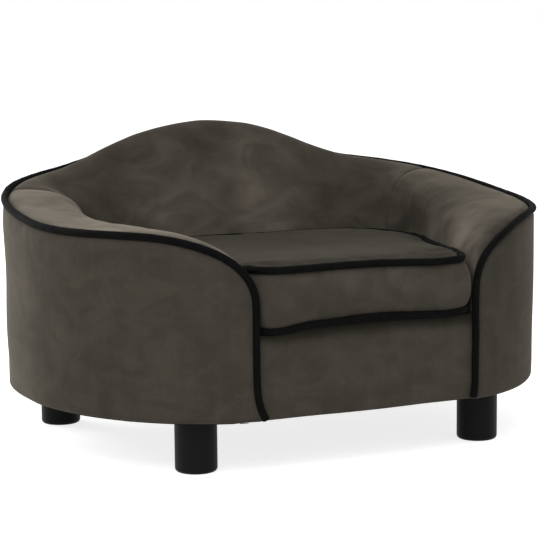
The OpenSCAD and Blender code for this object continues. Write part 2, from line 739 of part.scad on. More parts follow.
boxing_low = welt_low + welt_r + gap;
boxing_high = welt_high - welt_r - gap;
module cushion_boxing() {
    function row(i, t) = [ring(i, seam_in + t, boxing_low),
        ring(i, seam_in - swell + t, (boxing_low + boxing_high) / 2), ring(i, seam_in + t, boxing_high)];
    color(velvet) between(
        [for (i = [0 : loop_n - 1]) row(i, 0)],
        [for (i = [0 : loop_n - 1]) row(i, cover_t)],
        closed = true);
}

module cushion_foam() {
    foam_in = seam_in + cover_t + gap;
    foam_low = bottom_z + cover_t + gap;
    function row(i) = let (n = len(crown_shares)) concat(
        [ring(i, panel_in + cover_t, foam_low), ring(i, panel_in, boxing_low),
            ring(i, foam_in, boxing_low + cover_t), ring(i, foam_in, boxing_high - cover_t)],
        [for (k = [0 : n - 1]) crown_row(i, panel_in + cover_t, welt_high)[k] - [0, 0, cover_t + gap]]);
    color(foam_cream) crowned([for (i = [0 : loop_n - 1]) row(i)],
        welt_high + crown_h - cover_t - gap, foam_low);
}

module cushion_cord(z) {
    path = [for (i = [0 : loop_n - 1]) ring(i, 0, z)];
    out = [for (i = [0 : loop_n - 1]) let (n = -loop_in(i)) [n[0], n[1], 0]];
    color(welt_black) cord(path, out, welt_r, cushion_welt_sides, closed = true);
}
module top_welt() { cushion_cord(welt_high); }
module bottom_welt() { cushion_cord(welt_low); }

// Zip on the cushion's rear panel: tape, teeth, end stops, slider and pull
zip_z = (boxing_low + boxing_high) / 2;
tape_y = cushion_rear - seam_in + swell + gap;
teeth_y = tape_y + tape_t;
slider_y = teeth_y + tooth_t + gap;
pull_y = slider_y + slider_t + gap;
slider_x = -(zip_l / 2 - 1.5 * tooth_pitch - slider_l / 2 - gap);
tooth_n = floor(zip_l / tooth_pitch) - 4;
module zip_tape() {
    color(welt_black) translate([-zip_l / 2, tape_y, zip_z - tape_w / 2]) cube([zip_l, tape_t, tape_w]);
}
module zip_teeth() {
    color(welt_black) for (i = [0 : tooth_n - 1])
        translate([(i - (tooth_n - 1) / 2) * tooth_pitch - tooth_pitch / 4, teeth_y, zip_z - tooth_w / 2])
            cube([tooth_pitch / 2, tooth_t, tooth_w]);
}
module zip_stops() {
    color(steel) for (side = [-1, 1]) translate([
        side * (zip_l / 2 - tooth_pitch) - tooth_pitch / 2, teeth_y, zip_z - tooth_w / 2])
        cube([tooth_pitch, tooth_t, tooth_w]);
}
module zip_slider() {
    side = tooth_w / 2 + gap;
    lug = (slider_w / 2 - side) / 2;
    color(steel) translate([slider_x, 0, zip_z]) {
        translate([-slider_l / 2, slider_y, -slider_w / 2]) cube([slider_l, slider_t, slider_w]);
        for (s = [-1, 1]) translate([-slider_l / 2, teeth_y + gap, s * (slider_w / 2 - lug) - lug])
            cube([slider_l, slider_y - teeth_y - gap + slider_t / 2, 2 * lug]);
    }
}
module zip_pull() {
    color(steel) translate([slider_x, 0, 0]) difference() {
        translate([-slider_l / 4, pull_y, zip_z - pull_w / 2]) cube([pull_l, pull_t, pull_w]);
        translate([pull_l - slider_l / 2, pull_y - overrun, zip_z]) rotate([-90, 0, 0])
            cylinder(d = pull_w / 2, h = pull_t + 2 * overrun, $fn = hole_n);
    }
}

base_board();
wall_shell();
front_rail();
frame_posts();
deck_beam_front();
deck_beam_middle();
deck_beam_rear();
seat_deck();
deck_screws();
post_screws();
front_pad();
back_foam();
left_arm_foam();
right_arm_foam();
outer_cover();
front_cover();
back_inner_cover();
left_arm_cover();
right_arm_cover();
deck_cloth();
edge_welt();
dust_cover();
dust_staples();
t_nuts();
leg_studs();
leg_front_left();
leg_front_right();
leg_rear_left();
leg_rear_right();
cushion_foam();
cushion_top();
cushion_bottom();
cushion_boxing();
top_welt();
bottom_welt();
zip_tape();
zip_teeth();
zip_stops();
zip_slider();
zip_pull();
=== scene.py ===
import json
import math

import bpy
import numpy as np
from bpy.props import FloatProperty, FloatVectorProperty, PointerProperty
from bpy.types import Operator, Panel, PropertyGroup
from mathutils import Matrix, Vector
from mathutils.geometry import delaunay_2d_cdt
from mathutils.kdtree import KDTree

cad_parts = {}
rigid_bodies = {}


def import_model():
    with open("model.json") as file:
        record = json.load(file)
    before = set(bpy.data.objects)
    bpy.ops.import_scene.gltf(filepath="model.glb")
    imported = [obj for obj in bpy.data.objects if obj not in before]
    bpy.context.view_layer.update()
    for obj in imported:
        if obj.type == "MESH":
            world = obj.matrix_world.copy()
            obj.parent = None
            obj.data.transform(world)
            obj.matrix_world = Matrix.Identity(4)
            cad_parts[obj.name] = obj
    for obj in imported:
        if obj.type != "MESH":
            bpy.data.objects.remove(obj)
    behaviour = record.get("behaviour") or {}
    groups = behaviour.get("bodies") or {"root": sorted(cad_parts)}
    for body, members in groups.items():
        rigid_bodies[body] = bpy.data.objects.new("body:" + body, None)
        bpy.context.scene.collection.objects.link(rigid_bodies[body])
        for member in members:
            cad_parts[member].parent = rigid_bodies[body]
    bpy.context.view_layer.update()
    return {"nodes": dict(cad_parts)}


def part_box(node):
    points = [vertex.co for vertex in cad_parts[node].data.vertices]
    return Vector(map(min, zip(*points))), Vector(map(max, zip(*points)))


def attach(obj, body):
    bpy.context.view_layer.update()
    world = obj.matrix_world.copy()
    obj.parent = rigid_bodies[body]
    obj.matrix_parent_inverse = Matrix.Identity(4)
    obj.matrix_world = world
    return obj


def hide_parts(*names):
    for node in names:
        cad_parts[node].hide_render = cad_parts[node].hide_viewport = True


bl_info = {
    "name": "Dog Sofa Bed",
    "version": (1, 0, 0),
    "blender": (4, 5, 0),
    "location": "3D View > Sidebar > Dog Sofa",
    "description": "Covers, padding, welts, cushion, finishes and studio of a small dog sofa bed",
    "category": "Object",
}

for factory_object in list(bpy.data.objects):
    bpy.data.objects.remove(factory_object)
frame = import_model()


# Sizes, colours and studio settings that a user may change


def length(name, description, default):
    """A length in metres for a property group."""
    return FloatProperty(
        name=name, description=description, default=default, min=0.0, unit="LENGTH", precision=4)


def number(name, description, default):
    """A plain number for a property group."""
    return FloatProperty(name=name, description=description, default=default)


def colour(name, description, red, green, blue):
    """A colour for a property group, given as it shows on a screen."""
    shown = (red / 255, green / 255, blue / 255)
    linear = tuple(((c + 0.055) / 1.055) ** 2.4 if c > 0.04045 else c / 12.92 for c in shown)
    return FloatVectorProperty(
        name=name, description=description, default=linear, size=3, min=0.0, max=1.0, subtype="COLOR")


class SofaWallSizes(PropertyGroup):
    """Sizes of the upholstered wall round the seat."""

    body_w: length("Body width", "Width of the wall", 0.690)
    body_d: length("Body depth", "Depth of the wall", 0.498)
    leg_h: length("Leg height", "Height of the underside above the floor", 0.066)
    arm_h: length("Arm height", "Height of the welt along the arms", 0.289)
    back_h: length("Back height", "Height of the welt at the middle of the back", 0.378)
    seam_x: length("Front seam", "Distance of each front seam from the middle", 0.150)
    seam_turn: length("Seam turn", "How far the foot of each front seam turns in", 0.0075)
    front_flat: length("Front flat", "Half the straight length of the front", 0.134)
    back_flat: length("Back flat", "Half the straight length of the back", 0.077)
    roll_h: length("Roll height", "Height at which the front seam turns out over the arm", 0.203)
    roll_l: length("Roll length", "Length of wall along which the welt climbs to the arm", 0.164)
    edge_r: length("Bottom edge", "Radius of the cover's bottom edge", 0.0065)
    front_set: length("Front set-back", "How far the front panel stands behind the arms", 0.007)
    cover_t: length("Cover", "Thickness of the velvet covers", 0.002)
    welt_d: length("Welt", "Diameter of the welt cords", 0.009)
    flange_w: length("Flange", "Width of the covers' turned-under edges", 0.014)
    dust_t: length("Dust cover", "Thickness of the cloth under the base", 0.001)
    gap: length("Gap", "Rest gap between layers", 0.0003)


class SofaPaddingSizes(PropertyGroup):
    """Sizes of the padding on the arms and the back."""

    arm_t: length("Arm thickness", "Thickness of each arm at the seat", 0.123)
    back_t: length("Back thickness", "Thickness of the back at the seat", 0.084)
    side_d: length("Seat side", "Straight depth of the seat's sides", 0.241)
    well_h: length("Well height", "Height of the upright padding round the cushion", 0.060)
    crest_w: length("Crest", "Width of the padded roll beside the arms' welt", 0.013)
    crest_back: length("Back crest", "Width of the padded roll beside the back's welt", 0.007)
    arm_rise: length("Arm rise", "Rise of the padding above the welt along the arms", 0.0045)
    back_rise: length("Back rise", "Rise of the padding above the welt along the back", 0.015)
    foam_depth: length("Foam depth", "Distance from the outline to the foam's back", 0.0076)


class SofaCushionSizes(PropertyGroup):
    """Sizes of the seat deck and the loose cushion."""

    deck_h: length("Deck height", "Height of the seat deck above the floor", 0.175)
    cushion_h: length("Cushion height", "Height of the cushion between its two welts", 0.066)
    crown_h: length("Crown", "Rise of the cushion's top in the middle", 0.007)
    draw_in: length("Draw-in", "How far the cushion's front is drawn in", 0.003)
    swell: length("Swell", "Swell of the cushion's side panel", 0.0015)
    side_gap: length("Side gap", "Space between the cushion and the arms", 0.0015)
    rear_gap: length("Rear gap", "Space between the cushion and the back", 0.006)
    overhang: length("Overhang", "How far the cushion's welt stands ahead of the arms", 0.001)
    corner_r: length("Corner", "Radius of the cushion's front corners", 0.018)


class SofaColours(PropertyGroup):
    """Colours of the finishes."""

    velvet: colour("Velvet", "Pile lying away from the light", 50, 47, 40)
    velvet_light: colour("Brushed velvet", "Pile brushed towards the light", 104, 97, 87)
    welt: colour("Welt", "Cloth round the welt cords", 10, 10, 11)
    leg: colour("Legs", "Black plastic of the legs", 18, 18, 19)
    dust: colour("Dust cloth", "Cloth under the base", 24, 24, 25)
    foam: colour("Foam", "Cream foam of the padding", 236, 226, 190)
    ply: colour("Plywood", "Face of the plywood boards", 203, 170, 120)
    pine: colour("Pine", "Pine blocks and beams", 214, 182, 130)
    steel: colour("Steel", "Zinc on screws, nuts and staples", 178, 180, 184)


class SofaStudio(PropertyGroup):
    """Camera, floor and light."""

    azimuth: number("Azimuth", "Degrees the camera stands to the left of the front", -26.1023)
    elevation: number("Elevation", "Degrees the camera stands above the floor's level", 8.8893)
    roll: number("Roll", "Degrees the camera is turned about its own axis", 0.5058)
    distance: length("Distance", "Distance from the camera to its target", 2.7453)
    target_y: length("Target depth", "Depth of the camera's target", 0.002344)
    target_z: length("Target height", "Height of the camera's target", 0.150)
    lens: number("Lens", "Focal length in millimetres on a 36 mm sensor", 140.004)
    shift_x: number("Shift across", "Sideways shift of the picture", -0.015459)
    shift_y: number("Shift up", "Upward shift of the picture", 0.084449)
    key_power: number("Key light", "Power of the big soft lamp, in watts", 42.0)
    side_power: number("Side light", "Power of the lamp behind at the left, in watts", 38.0)
    sky_level: number("Sky", "Strength of the even light from all round", 0.52)


# Plain geometry


def mix(a, b, t):
    """The value a share t of the way from a to b."""
    return a + (b - a) * t


def smooth(t):
    """A smooth step from 0 to 1."""
    c = np.clip(t, 0.0, 1.0)
    return c * c * (3 - 2 * c)


def rise(value, start, reach):
    """A smooth step from 0 at a start to 1 a reach further on."""
    return smooth((value - start) / reach)


def unit(v):
    """Vectors of length 1."""
    return v / np.maximum(np.linalg.norm(v, axis=-1, keepdims=True), 1e-12)


def bezier(a, b, c, d, t):
    """Points of a cubic curve: a, b, c and d hold one point per row, t the steps along it."""
    a, b, c, d = (np.asarray(p)[..., None, :] for p in (a, b, c, d))
    t = np.asarray(t)[:, None]
    return (1 - t) ** 3 * a + 3 * t * (1 - t) ** 2 * b + 3 * t * t * (1 - t) * c + t**3 * d


def run_of(points):
    """Length run along a line at each of its points."""
    steps = np.linalg.norm(np.diff(points, axis=0), axis=1)
    return np.concatenate([[0.0], np.cumsum(steps)])


def even(points, count):
    """The same line with points at even spacing."""
    run = run_of(points)
    at = np.linspace(0, run[-1], count)
    return np.stack([np.interp(at, run, points[:, k]) for k in range(points.shape[1])], axis=-1)


def closed_even(loop, count):
    """A closed line with its points at even spacing."""
    return even(np.concatenate([loop, loop[:1]]), count + 1)[:-1]


def spots(*coordinates):
    """Points from coordinates that spread over one another's shape."""
    return np.stack(np.broadcast_arrays(*coordinates), axis=-1)


def ripple(at, wave, seed, count=9):
    """Smooth unevenness at points, mostly within -1 and 1, from crossing waves of about one length."""
    draw = np.random.default_rng(seed)
    total = 0.0
    for _ in range(count):
        way = unit(draw.normal(size=at.shape[-1]))
        pitch, phase = wave * draw.uniform(0.6, 1.7), draw.uniform(0, 2 * math.pi)
        total = total + np.sin(at @ way * (2 * math.pi / pitch) + phase)
    return total / math.sqrt(2 * count)


class Line:
    """A flat line through points, read by the length run along it."""

    def __init__(self, points):
        self.points = np.array(points, float)
        self.run = run_of(self.points)
        self.length = self.run[-1]

    def at(self, run):
        return np.stack([np.interp(run, self.run, self.points[:, k]) for k in (0, 1)], axis=-1)

    def left(self, run, sight):
        """Direction square to the line, to its left."""
        way = unit(self.at(run + sight) - self.at(run - sight))
        return np.stack([-way[..., 1], way[..., 0]], axis=-1)


class SofaLines:
    """The sofa's lines, worked out from the sizes. Every piece is laid on them."""

    PLAN_STEPS, SIGHT_STEPS, WELT_STEPS = 720, 120, 33
    FRONT_ROUND, BACK_ROUND = 1.074, 0.72
    WELT_IN = 0.375
    WELL_LEAN = 0.40
    WELL_CORNER = (0.92, 0.50)
    LEAD, LEAD_END, LEAD_START = 0.11, 0.70, 0.04
    ROLL_POWER = 2.3
    TAIL, TAIL_POWER, TAIL_END, HUMP_START, ARM_END = 0.59, 1.75, 0.895, 0.61, 0.284
    ARM_TOPS, ARM_TOP_L, ARM_HAND, ARM_DROPS = (0.30, 0.84), 0.230, 0.06, (0.40, 0.85)
    BACK_TOP, BACK_HAND, BACK_DROP = 0.45, 0.12, 0.50
    TURN_START, TURN_END, CREST_START, CREST_END = 0.554, 0.655, 0.72, 0.873
    SPLIT = 0.7
    STATION_POWER, FIRST_SHARE = 1.5, 1 / 30
    BEND_POWER, LEFT_SKEW, RIGHT_SKEW, LEFT_SKEW_POWER = 5, 0.0072, 0.0027, 0.55
    SKEW_ASIDE, SKEW_BEHIND = (0.005, 0.05), (0.02, 0.03)
    FULL_CREST, FOOT_SLOPE, ROLL_UP, ROLL_OVER, TOP_RISE = 3, 0.5, 0.62, 0.60, 0.5
    ROLL_STEPS, FACE_STEPS, FOOT_STEPS = 12, 40, 10

    def __init__(self, scene):
        w, p, c = scene.sofa_wall, scene.sofa_padding, scene.sofa_cushion
        self.w, self.p, self.c = w, p, c
        self.welt_r = w.welt_d / 2
        self.welt_in = self.welt_r * self.WELT_IN
        ahead = max(c.overhang + self.welt_r, self.welt_r - self.welt_in)
        shift = (ahead - (self.welt_r - self.welt_in)) / 2
        self.front_y, self.back_y = shift - w.body_d / 2, shift + w.body_d / 2
        self.mid_y, self.half_w = shift, w.body_w / 2
        self.sight = w.body_w / self.SIGHT_STEPS
        self.cover_edge = self.welt_r + w.gap
        self.cover_start = w.seam_x + self.cover_edge
        self.pad_in = self.welt_in + self.cover_edge
        self.wall = Line(self.wall_plan())
        self.half_l = self.wall.length
        self.well = Line(self.well_plan())
        self.flange_z = w.leg_h + w.dust_t + w.gap
        self.cloth_z = c.deck_h - w.cover_t
        self.split = self.station(self.SPLIT)
        self.cushion_in = c.side_gap + self.welt_r
        self.cushion_y = self.front_y - c.overhang
        self.cushion_rear = self.well_rear - c.rear_gap - self.welt_r
        self.cushion_mid = (self.cushion_y + self.cushion_rear) / 2
        self.welt_low = c.deck_h + w.gap + self.welt_r
        self.welt_high = self.welt_low + c.cushion_h

    def wall_plan(self):
        """Outline from the middle of the front, round the right side, to the middle of the back."""
        a = np.radians(np.linspace(0, 90, self.PLAN_STEPS + 1))
        sine, cosine = np.sin(a), np.clip(np.cos(a), 0, 1)
        deep_front, deep_back = self.front_y - self.mid_y, self.back_y - self.mid_y
        w = self.w
        front = np.stack([w.front_flat + (self.half_w - w.front_flat) * sine**self.FRONT_ROUND,
                          self.mid_y + deep_front * cosine**self.FRONT_ROUND], axis=1)
        back = np.stack([w.back_flat + (self.half_w - w.back_flat) * cosine**self.BACK_ROUND,
                         self.mid_y + deep_back * sine**self.BACK_ROUND], axis=1)
        return np.concatenate([[[0, self.front_y]], front, back[1:], [[0, self.back_y]]])

    def well_plan(self):
        """Outline of the seat's well, from the front seam to the middle of the back."""
        start = np.array([self.w.seam_x - self.welt_r, self.front_y])
        side = np.array([self.half_w - self.p.arm_t, self.front_y + self.p.side_d])
        self.well_rear = self.back_y - self.p.back_t
        self.side_way = unit(side - start)
        reach, reach_end = self.WELL_CORNER
        bend = bezier(side, side + self.side_way * self.p.side_d * self.WELL_LEAN,
                      [side[0] * reach, self.well_rear], [side[0] * reach_end, self.well_rear],
                      np.linspace(0, 1, self.PLAN_STEPS + 1)[1:])
        return np.concatenate([[start, side], bend, [[0, self.well_rear]]])

    def station(self, t):
        """Run at a share of the covered wall, closer together where the welt climbs."""
        return mix(self.cover_start, self.half_l, np.asarray(t, float) ** self.STATION_POWER)

    def share_of(self, u):
        return np.clip((u - self.w.seam_x) / (self.half_l - self.w.seam_x), 0, 1)

    def inset(self, u, d):
        return self.wall.at(u) + self.wall.left(u, self.sight) * np.asarray(d)[..., None]

    def facing(self, u):
        """The well's point that faces a point of the wall; it runs ahead at the front."""
        s = self.share_of(u)
        lead = self.LEAD * np.maximum(0, 1 - s / self.LEAD_END) * (1 - np.exp(-s / self.LEAD_START))
        return self.well.at(self.well.length * (s + lead))

    def climb(self, u):
        s = np.clip((u - self.w.seam_x) / self.w.roll_l, 0, 1)
        up = (1 - (1 - s) ** self.ROLL_POWER) ** (1 / self.ROLL_POWER)
        return mix(self.w.roll_h, self.w.arm_h, up)

    def hump(self, u):
        s = np.clip((self.share_of(u) - self.ARM_END) / (1 - self.ARM_END), 0, 1)
        tail = np.sin(np.pi / 2 * np.clip(s / self.TAIL_END, 0, 1)) ** self.TAIL_POWER
        top = (1 - np.cos(np.pi * np.clip((s - self.HUMP_START) / (1 - self.HUMP_START), 0, 1))) / 2
        return (self.w.back_h - self.w.arm_h) * (self.TAIL * tail + (1 - self.TAIL) * top)

    def rim(self, u):
        """Height of the welt's middle along the wall."""
        return self.climb(u) + self.hump(u)

    def under_welt(self, u, r):
        """Height of the line that stays r under the welt's middle."""
        v = np.maximum(self.w.seam_x, np.asarray(u)[..., None] + r * np.linspace(-1, 1, self.WELT_STEPS))
        drop = np.sqrt(np.maximum(0, r * r - (v - np.asarray(u)[..., None]) ** 2))
        return (self.rim(v) - drop).min(axis=-1)

    def seam_bend(self, z):
        """How far the front seam has turned in, from 0 at half height to 1 at the foot."""
        middle = (self.w.leg_h + self.w.roll_h) / 2
        return np.clip((middle - z) / (middle - self.w.leg_h), 0, 1) ** self.BEND_POWER

    def skewed(self, points):
        """Points near the feet of the front seams, which both stand a little to the right."""
        x, y, z = np.moveaxis(points, -1, 0)
        near = 1 - rise(np.abs(x) - self.w.seam_x, *self.SKEW_ASIDE)
        right = smooth((x / self.w.seam_x + 1) / 2)
        bend = self.seam_bend(z)
        bend = mix(self.LEFT_SKEW * bend**self.LEFT_SKEW_POWER, self.RIGHT_SKEW * bend, right)
        shift = bend * near * (1 - rise(y - self.front_y, *self.SKEW_BEHIND))
        return points + shift[..., None] * [1, 0, 0]

    def across(self, u):
        start = self.inset(u, self.pad_in)
        return start, self.facing(u) - start

    def pad_section(self, u, sink=0.0):
        """Section of the padding at each run: beside the welt, over the roll, down to the deck."""
        p, w = self.p, self.w
        t = np.linalg.norm(self.across(u)[1], axis=-1)
        s, h = self.share_of(u), self.rim(u)
        size = np.clip(t / (self.FULL_CREST * p.crest_w), 0, 1)
        climbed = rise(s, self.CREST_START, self.CREST_END - self.CREST_START)
        crest_d = mix(p.crest_w, p.crest_back, climbed) * size
        crest_h = h + mix(p.arm_rise, p.back_rise, climbed) * size
        foot_h = np.minimum(self.c.deck_h + p.well_h, h - self.FOOT_SLOPE * (t - crest_d))
        fade = rise(u, w.seam_x, self.ARM_TOP_L)
        turn = rise(s, self.TURN_START, self.TURN_END - self.TURN_START)
        top = mix(mix(self.ARM_TOPS[0], self.ARM_TOPS[1], fade), self.BACK_TOP, turn)
        hand = mix(self.ARM_HAND, self.BACK_HAND, turn)
        drop = mix(mix(self.ARM_DROPS[0], self.ARM_DROPS[1], fade), self.BACK_DROP, turn)
        a = np.stack([crest_d, crest_h], axis=-1)
        d = np.stack([t, foot_h], axis=-1)
        b = a + np.stack([top * (t - crest_d), p.arm_rise * self.TOP_RISE * size * (1 - turn)], axis=-1)
        c = d + np.stack([-hand * (t - crest_d), drop * (h - foot_h)], axis=-1)
        low = self.under_welt(u, self.cover_edge)
        start = np.stack([np.zeros_like(u), low], axis=-1)
        up = np.stack([np.zeros_like(u), low + self.ROLL_UP * (crest_h - low)], axis=-1)
        over = a - unit(b - a) * (self.ROLL_OVER * crest_d)[..., None]
        roll = bezier(start, up, over, a, np.linspace(0, 1, self.ROLL_STEPS))
        face = bezier(a, b, c, d, np.linspace(0, 1, self.FACE_STEPS))
        foot = np.stack([t, np.full_like(t, self.cloth_z)], axis=-1)
        drop_line = mix(d[:, None], foot[:, None], np.linspace(0, 1, self.FOOT_STEPS)[None, :, None])
        chain = np.concatenate([roll, face[:, 1:], drop_line[:, 1:]], axis=1)
        return pushed(chain, sink) if sink else chain

    def pad_grid(self, u, rows, sink=0.0):
        """Points of the padding's surface, one row per run, even spacing down each section."""
        chain = self.pad_section(u, sink)
        chain = np.stack([even(c, rows) for c in chain])
        start, way = self.across(u)
        flat = start[:, None] + unit(way)[:, None] * chain[..., :1]
        return np.concatenate([flat, chain[..., 1:]], axis=-1)


def pushed(chains, t):
    """Flat chains moved a distance t to their right."""
    way = unit(np.gradient(chains, axis=1))
    return chains + np.stack([way[..., 1], -way[..., 0]], axis=-1) * t


def both_sides(rows):
    """A grid for the right half, carried on over the middle to the left."""
    return np.concatenate([rows, rows[-2::-1] * [-1, 1, 1]])


def other_side(rows):
    """A right-hand grid mirrored to the left, still facing out."""
    return rows[::-1] * [-1, 1, 1]


def normals_of(grid, closed=False):
    """Unit normals of a grid of points."""
    if closed:
        along = np.roll(grid, -1, axis=0) - np.roll(grid, 1, axis=0)
    else:
        along = np.gradient(grid, axis=0)
    return unit(np.cross(along, np.gradient(grid, axis=1)))


def mesh_normals(points, faces):
    """Unit normals at the points of a triangulated sheet."""
    corners = np.array([face[:3] for face in faces])
    a, b, c = (points[corners[:, k]] for k in range(3))
    facing, total = np.cross(b - a, c - a), np.zeros_like(points)
    for k in range(3):
        np.add.at(total, corners[:, k], facing)
    return unit(total)


# Meshes


def quads(rows, cols, closed=False):
    """Faces of a grid, facing the way its rows cross its columns."""
    i, k = np.meshgrid(np.arange(rows if closed else rows - 1), np.arange(cols - 1), indexing="ij")
    j = (i + 1) % rows
    corners = ((i, k), (j, k), (j, k + 1), (i, k + 1))
    return np.stack([(r * cols + c).ravel() for r, c in corners], axis=1)


def rim_faces(rows, cols, closed=False):
    """Faces that close the edge between a grid and a second one that follows it."""
    n = rows * cols
    i = np.arange(rows if closed else rows - 1)
    j = (i + 1) % rows
    first, last = i * cols, i * cols + cols - 1
    next_first, next_last = j * cols, j * cols + cols - 1
    faces = [np.stack([next_first, first, first + n, next_first + n], axis=1),
             np.stack([last, next_last, next_last + n, last + n], axis=1)]
    if not closed:
        k = np.arange(cols - 1)
        end = (rows - 1) * cols + k
        faces.append(np.stack([k, k + 1, k + 1 + n, k + n], axis=1))
        faces.append(np.stack([end + 1, end, end + n, end + 1 + n], axis=1))
    return np.concatenate(faces)


def make_piece(name, points, faces, material, body, slot, uv=None):
    """A smooth mesh object that rides on a body and takes the given finish; the slot is not used."""
    mesh = bpy.data.meshes.new(name)
    mesh.from_pydata(np.asarray(points).tolist(), [], [list(map(int, f)) for f in faces])
    mesh.polygons.foreach_set("use_smooth", np.ones(len(mesh.polygons), bool))
    if uv is not None:
        corner = np.empty(len(mesh.loops), np.int32)
        mesh.loops.foreach_get("vertex_index", corner)
        layer = mesh.uv_layers.new(name="UVMap")
        layer.data.foreach_set("uv", np.asarray(uv, np.float32)[corner].ravel())
    mesh.update()
    obj = bpy.data.objects.new(name, mesh)
    bpy.context.scene.collection.objects.link(obj)
    mesh.materials.append(material)
    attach(obj, body)
    return obj


def grid_uv(grid):
    """Metres along and across a grid, for finishes that follow the cloth."""
    middle = grid[:, grid.shape[1] // 2]
    u = run_of(middle)[:, None] + np.zeros(grid.shape[:2])
    steps = np.linalg.norm(np.diff(grid, axis=1), axis=-1)
    v = np.concatenate([np.zeros((len(grid), 1)), np.cumsum(steps, axis=1)], axis=1)
    return np.stack([u, v], axis=-1)


def two_skins(front, back, closed=False):
    """Points and faces of a closed form between two grids."""
    rows, cols = front.shape[:2]
    points = np.concatenate([front.reshape(-1, 3), back.reshape(-1, 3)])
    face = quads(rows, cols, closed)
    return points, np.concatenate([face, face[:, ::-1] + rows * cols, rim_faces(rows, cols, closed)])


def make_cloth(name, grid, t, material, body, slot, closed=False):
    """A cloth of thickness t whose good side is the grid."""
    points, faces = two_skins(grid, grid - normals_of(grid, closed) * t, closed)
    uv = grid_uv(grid).reshape(-1, 2)
    return make_piece(name, points, faces, material, body, slot, np.concatenate([uv, uv]))


def make_block(name, front, back, material, body, slot):
    """A closed padded block between two grids."""
    return make_piece(name, *two_skins(front, back), material, body, slot)


def make_cord(name, path, out, r, sides, material, body, slot, closed=False):
    """A round cord along a path; out gives each ring's first direction."""
    n = len(path)
    if closed:
        way = unit(np.roll(path, -1, axis=0) - np.roll(path, 1, axis=0))
    else:
        way = unit(np.gradient(path, axis=0))
    side = unit(out - way * (out * way).sum(axis=1, keepdims=True))
    up = np.cross(way, side)
    a = np.linspace(0, 2 * np.pi, sides, endpoint=False)
    r = np.broadcast_to(np.asarray(r, float), (n,))[:, None, None]
    rings = path[:, None] + (side[:, None] * np.cos(a)[:, None] + up[:, None] * np.sin(a)[:, None]) * r
    i = np.arange(n if closed else n - 1)[:, None]
    k = np.arange(sides)[None]
    corners = ((i, k), (i, k + 1), (i + 1, k + 1), (i + 1, k))
    skin = np.stack([((r % n) * sides + c % sides).ravel() for r, c in corners], axis=1)
    faces = [list(f) for f in skin[:, ::-1]]
    if not closed:
        faces.append(list(range(sides)))
        faces.append(list(range((n - 1) * sides, n * sides))[::-1])
    run = run_of(path)[:, None] + np.zeros(sides)[None]
    round_at = np.zeros(n)[:, None] + (a * float(r.mean()))[None]
    uv = np.stack([run, round_at], axis=-1).reshape(-1, 2)
    return make_piece(name, rings.reshape(-1, 3), faces, material, body, slot, uv)


def cloth_area(obj):
    """Area of one side of a thick cloth."""
    areas = np.empty(len(obj.data.polygons))
    obj.data.polygons.foreach_get("area", areas)
    return float(areas.sum()) / 2


def declare_sheet(obj, width, depth):
    """Works out the smaller of a cover's area and the size it was cut to; the result is not kept."""
    min(cloth_area(obj), width * depth)


# Shader nodes


class Nodes:
    """Short ways to add and join shader nodes in one tree."""

    STEP_ACROSS = 180

    def __init__(self, tree):
        self.tree, self.across = tree, 0

    def add(self, kind, settings=None, **inputs):
        """A node with its settings, and inputs that are values or sockets."""
        made = self.tree.nodes.new("ShaderNode" + kind)
        self.across += self.STEP_ACROSS
        made.location = (self.across, 0)
        for key, value in (settings or {}).items():
            setattr(made, key, value)
        for key, value in inputs.items():
            self.feed(made, key.replace("_", " "), value)
        return made

    def feed(self, made, name, value):
        """Sets or links one input, by its name, or by its place after an i."""
        socket = made.inputs[int(name[1:])] if name[1:].isdigit() else made.inputs[name]
        if isinstance(value, bpy.types.NodeSocket):
            self.tree.links.new(value, socket)
        else:
            socket.default_value = (*value[:3], 1.0) if socket.type == "RGBA" else value

    def group(self, name, **inputs):
        """A shared group placed in this tree: its outputs."""
        return self.add("Group", {"node_tree": shared_group(name)}, **inputs).outputs

    def math(self, operation, a, b=0.0, clamp=False):
        return self.add("Math", {"operation": operation, "use_clamp": clamp}, i0=a, i1=b).outputs[0]

    def plus(self, a, b, clamp=False):
        return self.math("ADD", a, b, clamp)

    def less(self, a, b):
        return self.math("SUBTRACT", a, b)

    def times(self, a, b, clamp=False):
        return self.math("MULTIPLY", a, b, clamp)

    def swing(self, value, amount):
        """A value from 0 to 1 as a swing about 0."""
        return self.times(self.less(value, 0.5), amount)

    def blend(self, factor, a, b):
        return self.add("Mix", {"data_type": "RGBA"}, i0=factor, i6=a, i7=b).outputs[2]

    def step(self, value, low, high, to_low=0.0, to_high=1.0):
        return self.add("MapRange", {"interpolation_type": "SMOOTHSTEP"}, Value=value, From_Min=low,
                        From_Max=high, To_Min=to_low, To_Max=to_high).outputs[0]

    def noise(self, vector, scale, detail=2.0, roughness=0.5, distortion=0.0):
        return self.add("TexNoise", Vector=vector, Scale=scale, Detail=detail, Roughness=roughness,
                        Distortion=distortion).outputs[0]

    def cells(self, vector, scale):
        return self.add("TexVoronoi", Vector=vector, Scale=scale).outputs["Distance"]

    def stretched(self, vector, scale):
        return self.add("Mapping", Vector=vector, Scale=scale).outputs[0]

    def place(self):
        return self.add("TexCoord").outputs["Object"]

    def parts(self, vector):
        return self.add("SeparateXYZ", Vector=vector).outputs

    def bump(self, height, distance, strength):
        return self.add("Bump", Height=height, Distance=distance, Strength=strength).outputs[0]

    def seen(self):
        """1 for the camera, reflections and what shows through clear pieces."""
        look = self.add("LightPath").outputs
        other = self.math("MAXIMUM", look["Is Glossy Ray"], look["Is Transmission Ray"])
        return self.math("MAXIMUM", look["Is Camera Ray"], other)


